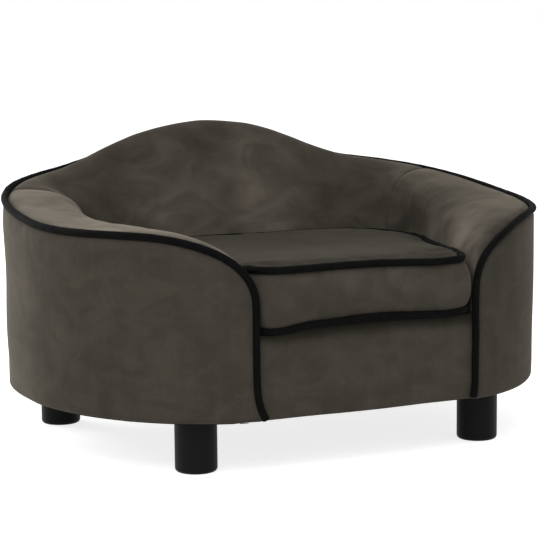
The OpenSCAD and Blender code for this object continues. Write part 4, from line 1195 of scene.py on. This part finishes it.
class SOFA_OT_edge_welt(Operator):
    """Welt cord up the front seams, over the arms and round the back"""

    bl_idname = "sofa.edge_welt"
    bl_label = "Edge welt"

    SPACING, SIDES, FOOT_RISE = 0.0022, 18, 0.003
    SEAM_POINTS, CLIMB_POINTS, RIM_POINTS = 80, 200, 300
    WANDER, WANDER_WAVE, UNEVEN, UNEVEN_WAVE = 0.0005, 0.08, 0.025, 0.03

    def half(self, lines):
        """Run and height of the right half, from the foot of the seam to the middle of the back."""
        w = lines.w
        z = np.linspace(lines.flange_z + self.FOOT_RISE, w.roll_h, self.SEAM_POINTS)
        seam = np.stack([w.seam_x - w.seam_turn * lines.seam_bend(z), z], axis=1)
        a, power = np.radians(np.linspace(0, 90, self.CLIMB_POINTS))[1:], 2 / lines.ROLL_POWER
        climb_u = w.seam_x + w.roll_l * (1 - np.clip(np.cos(a), 0, 1) ** power)
        climb_z = w.roll_h + (w.arm_h - w.roll_h) * np.sin(a) ** power + lines.hump(climb_u)
        climb = np.stack([climb_u, climb_z], axis=1)
        u = np.linspace(w.seam_x + w.roll_l, lines.half_l, self.RIM_POINTS)[1:]
        return np.concatenate([seam, climb, np.stack([u, lines.rim(u)], axis=1)])

    def execute(self, context):
        lines, finish = SofaLines(context.scene), Finish(context.scene)
        half = self.half(lines)
        run, z = half[:, 0], half[:, 1]
        flat = lines.inset(run, lines.welt_in)
        path = both_sides(np.concatenate([flat, z[:, None]], axis=1)[:, None])[:, 0]
        way_out = -lines.wall.left(run, lines.sight)
        out = both_sides(np.concatenate([way_out, 0 * z[:, None]], axis=1)[:, None])[:, 0]
        path_run = run_of(path)
        at = np.linspace(0, path_run[-1], int(path_run[-1] / self.SPACING))
        path, out = (np.stack([np.interp(at, path_run, line[:, k]) for k in range(3)], axis=1)
                     for line in (path, out))
        out = unit(out)
        path = lines.skewed(path + out * (self.WANDER * ripple(at[:, None], self.WANDER_WAVE, 51))[:, None])
        r = lines.welt_r * (1 + self.UNEVEN * ripple(at[:, None], self.UNEVEN_WAVE, 52))
        welt = make_cord("edge_piping", path, out, r, self.SIDES, finish.get("welt_cloth"), "root", "welt_cord")
        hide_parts("edge_welt")
        return {"FINISHED"}


TRIANGLE_ROW = 0.87


def filled_outline(outline, holes, spacing):
    """Flat sheet inside an outline, with holes: its points, its triangles and the given point of each."""
    loops = [np.asarray(loop) for loop in [outline, *holes]]
    points, edges = [], []
    for loop in loops:
        first = len(points)
        points.extend(loop.tolist())
        edges.extend((first + i, first + (i + 1) % len(loop)) for i in range(len(loop)))
    low, high = loops[0].min(axis=0), loops[0].max(axis=0)
    for j, y in enumerate(np.arange(low[1] + spacing / 2, high[1], spacing * TRIANGLE_ROW)):
        for x in np.arange(low[0] + spacing / 2 * (1 + j % 2), high[0], spacing):
            points.append([x, y])
    made = delaunay_2d_cdt([Vector(p) for p in points], edges, [], 2, 1e-6)
    return np.array([list(p) for p in made[0]]), made[2], [given[0] if given else -1 for given in made[3]]


def make_sheet(name, upper, faces, lower, material, body, slot):
    """A cloth between a triangulated upper face and the points under it."""
    n = len(upper)
    points = np.concatenate([upper, lower])
    used = dict.fromkeys((a, b) for f in faces for a, b in zip(f, [*f[1:], f[0]]))
    border = [(a, b) for a, b in used if (b, a) not in used]
    all_faces = [list(f) for f in faces]
    all_faces += [[i + n for i in reversed(f)] for f in faces]
    all_faces += [[b, a, a + n, b + n] for a, b in border]
    return make_piece(name, points, all_faces, material, body, slot, np.concatenate([upper, upper])[:, :2])


def from_front(edge, front_y, count):
    """Closed outline at even spacing, from the right half of its edge, cut off at the front."""
    edge = edge[edge[:, 1] > front_y]
    edge = np.concatenate([[[edge[0, 0], front_y]], edge])
    return closed_even(np.concatenate([edge, edge[-2::-1] * [-1, 1]]), count)


def ring_points(centre, r, count=48):
    """A circle of points."""
    a = np.linspace(0, 2 * np.pi, count, endpoint=False)
    return np.stack([centre[0] + r * np.cos(a), centre[1] + r * np.sin(a)], axis=1)


class SOFA_OT_deck_cloth(Operator):
    """Cloth on the seat deck, under the cushion"""

    bl_idname = "sofa.deck_cloth"
    bl_label = "Deck cloth"

    STATIONS, EDGE_POINTS, SPACING = 120, 239, 0.012
    SINK, SINK_WIDTH, SINK_WAVE, THIN = 0.0006, 0.2, 0.12, 0.6

    def execute(self, context):
        lines, finish = SofaLines(context.scene), Finish(context.scene)
        low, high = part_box("deck_cloth")
        u = lines.station(np.linspace(lines.FIRST_SHARE, 1, self.STATIONS))
        edge = lines.facing(u) + unit(lines.across(u)[1]) * lines.w.gap
        flat, faces, _ = filled_outline(from_front(edge, low.y, self.EDGE_POINTS), [], self.SPACING)
        centre_share = np.clip(1 - np.abs(flat[:, 0]) / self.SINK_WIDTH, 0, 1)
        top = high.z - self.SINK * centre_share * (0.5 + 0.5 * ripple(flat, self.SINK_WAVE, 61))
        upper = np.column_stack([flat, top])
        cloth = make_sheet("deck_lining", upper, faces, upper - [0, 0, lines.w.cover_t * self.THIN],
                           finish.get("velvet_seat"), "root", "velvet_inside")
        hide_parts("deck_cloth")
        declare_sheet(cloth, high.x - low.x, high.y - low.y)
        return {"FINISHED"}


class SOFA_OT_dust_cover(Operator):
    """Black cloth under the base, with cut-outs for the legs"""

    bl_idname = "sofa.dust_cover"
    bl_label = "Dust cover"

    STATIONS, STATION_POWER, EDGE_POINTS, SPACING = 150, 0.8, 319, 0.014

    def execute(self, context):
        lines, finish = SofaLines(context.scene), Finish(context.scene)
        w = lines.w
        low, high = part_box("dust_cover")
        u = lines.station(np.linspace(0, 1, self.STATIONS) ** self.STATION_POWER)
        edge = lines.inset(u, w.edge_r + w.cover_t)
        holes = []
        for name in ("leg_front_left", "leg_front_right", "leg_rear_left", "leg_rear_right"):
            leg_low, leg_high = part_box(name)
            centre = (leg_low + leg_high) / 2
            holes.append(ring_points(centre, (leg_high.x - leg_low.x) / 2 + w.gap))
        flat, faces, _ = filled_outline(from_front(edge, low.y, self.EDGE_POINTS), holes, self.SPACING)
        upper = np.column_stack([flat, np.full(len(flat), high.z)])
        cloth = make_sheet("dust_cloth_sheet", upper, faces, upper - [0, 0, w.dust_t],
                           finish.get("dust_cloth"), "root", "dust_cloth")
        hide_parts("dust_cover")
        declare_sheet(cloth, high.x - low.x, high.y - low.y)
        return {"FINISHED"}


class CushionShape:
    """The loose cushion's outline, the lines of its two welts and where they sag or bend."""

    LOOP = 320
    FRONT_LIFT, FRONT_DIP, DIP_AT, DIP_WIDE = 0.0011, -0.0020, 0.088, 0.030
    LOW_AT = (-0.139, -0.117, -0.082, -0.048, -0.013, 0.022, 0.056, 0.091, 0.121, 0.138)
    LOW_BY = (-0.0057, -0.0060, -0.0010, -0.0006, 0.0019, 0.0020, 0.0005, -0.0017, -0.0014, 0.0040)
    LOW_SPREAD = np.linspace(-0.014, 0.014, 7)
    PRESSED, PRESS_START, PRESS_LENGTH = 0.0085, 0.0200, 0.20
    CORNER_IN, CORNER_ASIDE, CORNER_BEHIND = 0.0055, (0.12, 0.02), (0.10, 0.08)
    FRONT_ZONE, REAR_ZONE, LIFT_END = (0.010, 0.030), (0.030, 0.020), (0.01, 0.04)
    WAVES, WAVE_TURN, LUMPS, LUMP_TURN = (3, 5, 8, 13), 81, (29, 37, 47), 7
    WAVE_LIFT, LUMP_LIFT, LUMP_SHIFT, LOW_WAVE = 0.0009, 0.0011, 0.0010, 0.0004
    FRONT_POINTS, CORNER_POINTS, SIDE_POINTS = 40, 24, 300

    def __init__(self, lines):
        self.lines = lines
        self.loop = self.outline()
        self.run = run_of(np.concatenate([self.loop, self.loop[:1]]))[:-1]
        way = unit(np.roll(self.loop, -1, axis=0) - np.roll(self.loop, 1, axis=0))
        self.inward = np.stack([-way[:, 1], way[:, 0]], axis=1)
        self.centre = np.array([0.0, lines.cushion_mid])
        x, y = self.loop.T
        self.front = 1 - rise(y - lines.cushion_y, *self.FRONT_ZONE)
        self.rear = smooth((y - lines.cushion_rear + self.REAR_ZONE[0]) / self.REAR_ZONE[1])
        around = self.run / self.run[-1] * 2 * np.pi
        wave = sum(np.sin(around * k + self.WAVE_TURN * k) for k in self.WAVES) / len(self.WAVES)
        lumps = sum(np.sin(around * k + self.LUMP_TURN * k) for k in self.LUMPS) / len(self.LUMPS)
        side = (1 - self.front) * (1 - self.rear)
        self.corner = rise(x, *self.CORNER_ASIDE) * (1 - rise(y - lines.cushion_y, *self.CORNER_BEHIND))
        self.top_shift = self.LUMP_SHIFT * lumps * side + self.CORNER_IN * self.corner
        low = np.mean([np.interp(x + step, self.LOW_AT, self.LOW_BY) for step in self.LOW_SPREAD], axis=0)
        self.low_lift = self.LOW_WAVE * np.abs(wave) * (1 - self.front) + self.front * low
        front = self.FRONT_LIFT * (1 - rise(x, *self.LIFT_END))
        front = front + self.FRONT_DIP * np.exp(-((x - self.DIP_AT) / self.DIP_WIDE) ** 2)
        self.top_lift = self.WAVE_LIFT * wave + self.LUMP_LIFT * lumps * side + self.front * front - self.pressed(y)

    def pressed(self, y):
        """How far the top lies below the line of its front welt, at each depth."""
        return self.PRESSED * rise(y - self.lines.cushion_y, self.PRESS_START, self.PRESS_LENGTH)

    def side_point(self, l):
        lines = self.lines
        at = lines.well.at(l) + lines.well.left(l, lines.sight) * lines.cushion_in
        t = np.clip((at[..., 1] - lines.mid_y) / (lines.well_rear - lines.cushion_in - lines.mid_y), 0, 1)
        return at - np.stack([0 * t, (lines.c.rear_gap - lines.c.side_gap) * t], axis=-1)

    def outline(self):
        """Closed line of the welts, counter-clockwise from the middle of the front."""
        lines, c = self.lines, self.lines.c
        corner_l = c.corner_r + c.overhang + lines.welt_r
        start = self.side_point(np.array([0.0, corner_l]))
        tip = np.array([start[0][0] - lines.side_way[0] * c.overhang, lines.cushion_y])
        front_end, corner_end = tip - [c.corner_r, 0], start[1]
        s = np.linspace(0, 1, self.FRONT_POINTS)[:-1]
        front = np.stack([front_end[0] * s, lines.cushion_y + c.draw_in * (1 - s * s)], axis=1)
        t = np.linspace(0, 1, self.CORNER_POINTS)[:-1, None]
        corner = (1 - t) ** 2 * front_end + 2 * t * (1 - t) * tip + t * t * corner_end
        side = self.side_point(np.linspace(corner_l, lines.well.length, self.SIDE_POINTS))
        half = np.concatenate([front, corner, side])
        half = half[half[:, 0] >= 0]
        loop = np.concatenate([half, half[-2:0:-1] * [-1, 1]])
        return closed_even(loop, self.LOOP)

    def ring(self, d, z):
        """The outline moved in by d, at height z."""
        flat = self.loop + self.inward * (np.asarray(d) + np.zeros(self.LOOP))[:, None]
        return np.concatenate([flat, (np.zeros(self.LOOP) + z)[:, None]], axis=1)

    def welt(self, top):
        """Middle line of the top or bottom welt."""
        if top:
            return self.ring(self.top_shift, self.lines.welt_high + self.top_lift)
        return self.ring(0.0, self.lines.welt_low + self.low_lift)

    def share_out(self, flat):
        """How far out points lie, from 0 at the middle to 1 at the outline."""
        ring = self.loop - self.centre
        angle = np.arctan2(ring[:, 1], ring[:, 0])
        order = np.argsort(angle)
        from_middle = flat - self.centre
        reach = np.interp(np.arctan2(from_middle[:, 1], from_middle[:, 0]), angle[order],
                          np.linalg.norm(ring[order], axis=1), period=2 * np.pi)
        return np.clip(np.linalg.norm(from_middle, axis=1) / reach, 0, 1)


def clear_of(points, welt, r):
    """Moves points that lie inside a welt cord out to its surface."""
    tree = KDTree(len(welt))
    for i, at in enumerate(welt):
        tree.insert(at, i)
    tree.balance()
    moved = points.copy()
    for i, at in enumerate(points):
        near, _, far = tree.find(at)
        if far < r:
            away = Vector(at) - near
            moved[i] = near + away.normalized() * r
    return moved


class SOFA_OT_cushion(Operator):
    """Loose seat cushion: top and side panels swollen by the cloth solver, a base panel and a foam core"""

    bl_idname = "sofa.cushion"
    bl_label = "Seat cushion"

    SIDE_ROWS, SPACING, BASE_SPACING = 13, 0.0055, 0.012
    SEAM_IN, CLEAR = 0.0040, 0.0047
    START_SWELL, CORNER_SWELL, SWELL_POWER, EDGE_POWERS, EDGE_FADE = 0.0045, 0.0030, 0.55, (6.0, 7.0), 0.10
    FRAMES, PRESSURE, SLACK, QUALITY = 20, 4.0, 0.012, 6
    TOP_CAP, SIDE_CAP, SIDE_SPARE, BASE_RISE = 0.0030, 0.0040, 1.05, 0.4
    ZIP_BEHIND, ZIP_FADE, ZIP_HALF, ZIP_END, ZIP_IN, ZIP_POWER = 0.012, 0.008, 0.112, 0.020, 0.25, 0.7
    CORE_IN, CORE_EDGE, CORE_OUT, CORE_LOW, CORE_TOP, CORE_CROWN = 0.002, 0.006, 0.001, 0.004, 0.002, 0.6
    CORE_RINGS, CORE_END, PRESS_FROM, CORE_FILL = 14, 0.03, 0.03, 0.7

    def seam(self, shape, top):
        """Line that a panel is sewn on, just inside the top or bottom welt."""
        ring = shape.welt(top)
        ring[:, :2] += shape.inward * self.SEAM_IN
        return ring

    def panel(self, shape, top, spacing):
        """Flat panel in a seam: the seam, its points and triangles, their seam points and which have one."""
        ring = self.seam(shape, top)
        flat, faces, given = filled_outline(ring[:, :2], [], spacing)
        given = np.array(given)
        return ring, flat, [list(f) for f in faces], given, (given >= 0) & (given < shape.LOOP)

    def top_panel(self, shape):
        """The top panel as it is sewn: its points, its triangles and the ring point at each edge point."""
        lines = shape.lines
        ring, flat, faces, given, edge = self.panel(shape, True, self.SPACING)
        out = shape.share_out(flat)
        power = mix(*self.EDGE_POWERS, rise(flat[:, 1], lines.cushion_mid, self.EDGE_FADE))
        angle_at = np.argmin(((flat[:, None] - ring[None, :, :2]) ** 2).sum(axis=-1), axis=1)
        z = mix(lines.welt_high - shape.pressed(flat[:, 1]), ring[angle_at, 2], out**4)
        z = z + lines.c.crown_h * (1 - out**power)
        points = np.column_stack([flat, z])
        points[edge] = ring[given[edge]]
        return points, faces, np.where(edge, given, -1)

    def side_panel(self, shape):
        """The side panel as it is sewn: rows of ring points from the bottom welt to the top one."""
        low, high = self.seam(shape, False), self.seam(shape, True)
        t = np.linspace(0, 1, self.SIDE_ROWS)[:, None, None]
        reach = self.SEAM_IN + self.START_SWELL + self.CORNER_SWELL * shape.corner[None, :, None]
        bulge = reach * np.sin(np.pi * t) ** self.SWELL_POWER
        rows = mix(low, high, t)
        out = np.concatenate([-shape.inward, np.zeros((shape.LOOP, 1))], axis=1)
        return rows + out * bulge

    def swollen(self, points, faces, sewn, caps):
        """Swells a cover under pressure with Blender's cloth, held at its seams, and caps each move."""
        scene = bpy.context.scene
        mesh = bpy.data.meshes.new("swelling")
        mesh.from_pydata(points.tolist(), [], faces)
        obj = bpy.data.objects.new("swelling", mesh)
        scene.collection.objects.link(obj)
        obj.vertex_groups.new(name="seams").add([int(i) for i in sewn], 1.0, "REPLACE")
        cloth = obj.modifiers.new("cloth", "CLOTH")
        settings = cloth.settings
        settings.vertex_group_mass = "seams"
        settings.quality = self.QUALITY
        settings.use_pressure = True
        settings.uniform_pressure_force = self.PRESSURE
        settings.effector_weights.gravity = 0.0
        settings.shrink_min = -self.SLACK
        cloth.collision_settings.use_collision = False
        cloth.point_cache.frame_start, cloth.point_cache.frame_end = 1, self.FRAMES
        for frame_number in range(1, self.FRAMES + 1):
            scene.frame_set(frame_number)
        shown = obj.evaluated_get(bpy.context.evaluated_depsgraph_get()).to_mesh()
        moved = np.empty(3 * len(points))
        shown.vertices.foreach_get("co", moved)
        move = moved.reshape(-1, 3) - points
        far = np.linalg.norm(move, axis=1)
        bpy.data.objects.remove(obj)
        bpy.data.meshes.remove(mesh)
        scene.frame_set(1)
        return points + move * (caps / np.maximum(far, caps))[:, None]

    def execute(self, context):
        lines, finish = SofaLines(context.scene), Finish(context.scene)
        shape, c, w = CushionShape(lines), lines.c, lines.w
        top, top_faces, sewn_at = self.top_panel(shape)
        side = self.side_panel(shape)
        top, side = self.swell_both(shape, top, top_faces, sewn_at, side)
        for welt in (shape.welt(True), shape.welt(False)):
            top = clear_of(top, welt, self.CLEAR)
            side = clear_of(side.reshape(-1, 3), welt, self.CLEAR).reshape(side.shape)
        side = self.flat_for_zip(shape, side)
        velvet = finish.get("velvet_cushion")
        size = shape.loop.max(axis=0) - shape.loop.min(axis=0)
        tops = mesh_normals(top, top_faces)
        # The top panel takes the darker seat velvet, partly a painted shade
        cover = make_sheet("cushion_top_velvet", top, top_faces, top - tops * w.cover_t, finish.get("velvet_seat"),
                           "cushion", "velvet_cushion")
        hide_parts("cushion_top")
        declare_sheet(cover, size[0], size[1])
        cover = make_cloth("cushion_side_velvet", np.swapaxes(side, 0, 1), w.cover_t, velvet, "cushion",
                           "velvet_cushion", closed=True)
        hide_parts("cushion_boxing")
        declare_sheet(cover, shape.run[-1], (lines.welt_high - lines.welt_low) * self.SIDE_SPARE)
        _, flat, faces, given, edge = self.panel(shape, False, self.BASE_SPACING)
        base_z = c.deck_h + w.gap
        base = np.column_stack([flat, np.full(len(flat), base_z)])
        base[edge, 2] = base_z + w.welt_d * self.BASE_RISE + np.maximum(0, shape.low_lift[given[edge]])
        cover = make_sheet("cushion_base_velvet", base + [0, 0, w.cover_t], faces, base, velvet, "cushion",
                           "velvet_cushion")
        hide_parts("cushion_bottom")
        declare_sheet(cover, size[0], size[1])
        self.filling(shape, lines, finish)
        return {"FINISHED"}

    def swell_both(self, shape, top, top_faces, sewn_at, side):
        """Swells the top and side panels as one cover that is sewn along the top welt."""
        free = np.flatnonzero(sewn_at < 0)
        rows, loop = side.shape[:2]
        points = np.concatenate([side.reshape(-1, 3), top[free]])
        at = np.empty(len(top), int)
        at[free] = rows * loop + np.arange(len(free))
        sewn = sewn_at >= 0
        at[sewn] = (rows - 1) * loop + sewn_at[sewn]
        i, k = np.meshgrid(np.arange(loop), np.arange(rows - 1), indexing="ij")
        j = (i + 1) % loop
        sides = np.stack([k * loop + i, k * loop + j, (k + 1) * loop + j, (k + 1) * loop + i], axis=-1)
        faces = sides.reshape(-1, 4).tolist() + [[int(at[v]) for v in f] for f in top_faces]
        held = np.concatenate([np.arange(loop), (rows - 1) * loop + np.arange(loop)])
        caps = np.full(len(points), self.TOP_CAP)
        caps[: rows * loop] = self.SIDE_CAP
        moved = self.swollen(points, faces, held, caps)
        top = top.copy()
        top[free] = moved[rows * loop:]
        return top, moved[: rows * loop].reshape(side.shape)

    def flat_for_zip(self, shape, side):
        """Keeps the rear of the side panel where the zip's tape is sewn on it."""
        lines, c = shape.lines, shape.lines.c
        x, y = shape.loop.T
        there = smooth((y - lines.cushion_rear + self.ZIP_BEHIND) / self.ZIP_FADE)
        there = there * (1 - rise(np.abs(x), self.ZIP_HALF, self.ZIP_END))
        t = np.linspace(0, 1, len(side))
        low, high = lines.welt_low + lines.welt_r, lines.welt_high - lines.welt_r + shape.top_lift
        inner = lines.welt_r * self.ZIP_IN - c.swell * np.sin(np.pi * t) ** self.ZIP_POWER
        plain = np.stack([shape.ring(d, mix(low, high, s)) for d, s in zip(inner, t)])
        plain[0], plain[-1] = side[0], side[-1]
        return mix(side, plain, there[None, :, None])

    def filling(self, shape, lines, finish):
        """Foam core inside the three panels."""
        w, c = lines.w, lines.c
        inner, high = self.SEAM_IN + w.cover_t + self.CORE_IN, lines.welt_high - self.CORE_TOP
        levels = [(inner + self.CORE_EDGE, c.deck_h + w.gap + w.cover_t + w.gap),
                  (inner, lines.welt_low + self.CORE_LOW),
                  (inner - self.CORE_OUT, (lines.welt_low + lines.welt_high) / 2),
                  (inner, lines.welt_high - self.CORE_LOW), (inner + self.CORE_EDGE, high)]
        press = shape.pressed(shape.loop[:, 1])
        rings = [shape.ring(d, z - press * (z > lines.welt_low + self.PRESS_FROM)) for d, z in levels]
        t = np.linspace(1, self.CORE_END, self.CORE_RINGS)[1:, None, None]
        centre = shape.centre
        flat = centre + (rings[-1][None, :, :2] - centre) * t
        crown = high + c.crown_h * self.CORE_CROWN * (1 - t**5) - shape.pressed(flat[..., 1:])
        top = np.concatenate([flat, crown], axis=-1)
        grid = np.concatenate([np.stack(rings, axis=1), np.swapaxes(top, 0, 1)], axis=1)
        rows, cols = grid.shape[:2]
        faces = [list(f) for f in quads(rows, cols, closed=True)]
        faces.append([int(k * cols + cols - 1) for k in range(rows)])
        faces.append([int(k * cols) for k in reversed(range(rows))])
        made = make_piece("cushion_filling", grid.reshape(-1, 3), faces, finish.get("foam"), "cushion", "foam")
        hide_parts("cushion_foam")


class SOFA_OT_cushion_welts(Operator):
    """The two welt cords round the cushion"""

    bl_idname = "sofa.cushion_welts"
    bl_label = "Cushion welts"

    SIDES, UNEVEN, TURNS = 18, 0.02, 41
    CORDS = (("top_piping", "top_welt", True, 81), ("bottom_piping", "bottom_welt", False, 82))

    def execute(self, context):
        lines, finish = SofaLines(context.scene), Finish(context.scene)
        shape = CushionShape(lines)
        around = shape.run / shape.run[-1] * 2 * np.pi
        out = np.concatenate([-shape.inward, np.zeros((shape.LOOP, 1))], axis=1)
        for name, node, top, turn in self.CORDS:
            r = lines.welt_r * (1 + self.UNEVEN * np.sin(around * self.TURNS + turn))
            welt = make_cord(name, shape.welt(top), out, r, self.SIDES, finish.get("welt_cloth"), "cushion",
                             "welt_cord", closed=True)
            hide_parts(node)
        return {"FINISHED"}


class SOFA_OT_frame_finishes(Operator):
    """Finishes of the wooden frame, the fasteners, the legs and the zip"""

    bl_idname = "sofa.frame_finishes"
    bl_label = "Frame, legs and zip"

    FINISHES = {
        "plywood": ("base_board", "wall_shell", "seat_deck"),
        "pine": ("front_rail", "frame_posts", "deck_beam_front", "deck_beam_middle", "deck_beam_rear"),
        "zinc": ("deck_screws", "post_screws", "t_nuts", "leg_studs", "zip_stops", "zip_slider", "zip_pull"),
        "black_zinc": ("dust_staples",),
        "leg_plastic": ("leg_front_left", "leg_front_right", "leg_rear_left", "leg_rear_right"),
        "zip_plastic": ("zip_teeth",),
        "zip_cloth": ("zip_tape",),
    }

    def execute(self, context):
        finish = Finish(context.scene)
        for name, nodes in self.FINISHES.items():
            for node in nodes:
                finish_node(node, finish.get(name))
        return {"FINISHED"}


class SOFA_OT_stage(Operator):
    """Floor, soft lamps, sky and camera"""

    bl_idname = "sofa.stage"
    bl_label = "Stage"

    LIT, FLOOR_HALF, SENSOR = (0, 0, 0.2), 12.0, 36.0
    KEY, SIDE = ((-1.3, -1.5, 2.6), (2.2, 2.2)), ((-1.25, 2.4, 0.9), (1.6, 1.2))

    def lamp(self, name, place, size, power):
        data = bpy.data.lights.new(name, "AREA")
        data.shape, data.size, data.size_y, data.energy = "RECTANGLE", size[0], size[1], power
        obj = bpy.data.objects.new(name, data)
        obj.location = place
        obj.rotation_euler = (Vector(self.LIT) - Vector(place)).to_track_quat("-Z", "Y").to_euler()
        bpy.context.scene.collection.objects.link(obj)

    def sky(self, scene, level):
        world = bpy.data.worlds.new("studio")
        world.use_nodes = True
        scene.world = world
        n = Nodes(world.node_tree)
        world.node_tree.nodes.clear()
        strength = n.plus(level, n.times(n.seen(), 1.0 - level))
        n.add("OutputWorld", Surface=n.add("Background", Color=Finish.WHITE, Strength=strength).outputs[0])

    def camera(self, scene, s):
        az, el, roll = math.radians(s.azimuth), math.radians(s.elevation), math.radians(s.roll)
        back = Vector((math.sin(az) * math.cos(el), -math.cos(az) * math.cos(el), math.sin(el)))
        right = Vector((math.cos(az), math.sin(az), 0))
        up = back.cross(right)
        turned = right * math.cos(roll) - up * math.sin(roll)
        upright = right * math.sin(roll) + up * math.cos(roll)
        data = bpy.data.cameras.new("camera")
        data.lens, data.sensor_width, data.shift_x, data.shift_y = s.lens, self.SENSOR, s.shift_x, s.shift_y
        obj = bpy.data.objects.new("camera", data)
        spot = Matrix((turned, upright, back)).transposed().to_4x4()
        spot.translation = Vector((0, s.target_y, s.target_z)) + back * s.distance
        obj.matrix_world = spot
        scene.collection.objects.link(obj)
        scene.camera = obj

    def execute(self, context):
        scene, s = context.scene, context.scene.sofa_studio
        self.camera(scene, s)
        self.sky(scene, s.sky_level)
        self.lamp("key", *self.KEY, s.key_power)
        self.lamp("side", *self.SIDE, s.side_power)
        half = self.FLOOR_HALF
        corners = [(-half, -half, 0), (half, -half, 0), (half, half, 0), (-half, half, 0)]
        mesh = bpy.data.meshes.new("floor")
        mesh.from_pydata(corners, [], [(0, 1, 2, 3)])
        mesh.materials.append(Finish(scene).get("floor"))
        floor = bpy.data.objects.new("floor", mesh)
        scene.collection.objects.link(floor)
        scene.view_settings.view_transform = "Standard"
        return {"FINISHED"}


class SOFA_PT_build(Panel):
    """Lists the operators that build the sofa, and its settings"""

    bl_idname = "SOFA_PT_build"
    bl_label = "Dog Sofa Bed"
    bl_space_type = "VIEW_3D"
    bl_region_type = "UI"
    bl_category = "Dog Sofa"

    def draw(self, context):
        scene = context.scene
        for group in (scene.sofa_wall, scene.sofa_padding, scene.sofa_cushion, scene.sofa_colours,
                      scene.sofa_studio):
            box = self.layout.box()
            for name in group.bl_rna.properties.keys():
                if name not in ("rna_type", "name"):
                    box.prop(group, name)
        for made in OPERATORS:
            self.layout.operator(made.bl_idname)


GROUPS = {
    "sofa_wall": SofaWallSizes,
    "sofa_padding": SofaPaddingSizes,
    "sofa_cushion": SofaCushionSizes,
    "sofa_colours": SofaColours,
    "sofa_studio": SofaStudio,
}
OPERATORS = (
    SOFA_OT_stage, SOFA_OT_frame_finishes, SOFA_OT_padding, SOFA_OT_outer_cover, SOFA_OT_front_cover,
    SOFA_OT_arm_covers, SOFA_OT_back_cover, SOFA_OT_edge_welt, SOFA_OT_deck_cloth, SOFA_OT_dust_cover,
    SOFA_OT_cushion, SOFA_OT_cushion_welts)


def register():
    for made in (*GROUPS.values(), *OPERATORS, SOFA_PT_build):
        bpy.utils.register_class(made)
    for name, group in GROUPS.items():
        setattr(bpy.types.Scene, name, PointerProperty(type=group))


def unregister():
    for name in GROUPS:
        delattr(bpy.types.Scene, name)
    for made in (SOFA_PT_build, *reversed(OPERATORS), *reversed(GROUPS.values())):
        bpy.utils.unregister_class(made)


def main():
    """Builds the whole sofa and its stage."""
    register()
    bpy.ops.sofa.stage()
    bpy.ops.sofa.frame_finishes()
    bpy.ops.sofa.padding()
    bpy.ops.sofa.outer_cover()
    bpy.ops.sofa.front_cover()
    bpy.ops.sofa.arm_covers()
    bpy.ops.sofa.back_cover()
    bpy.ops.sofa.edge_welt()
    bpy.ops.sofa.deck_cloth()
    bpy.ops.sofa.dust_cover()
    bpy.ops.sofa.cushion()
    bpy.ops.sofa.cushion_welts()


if __name__ == "__main__":
    main()
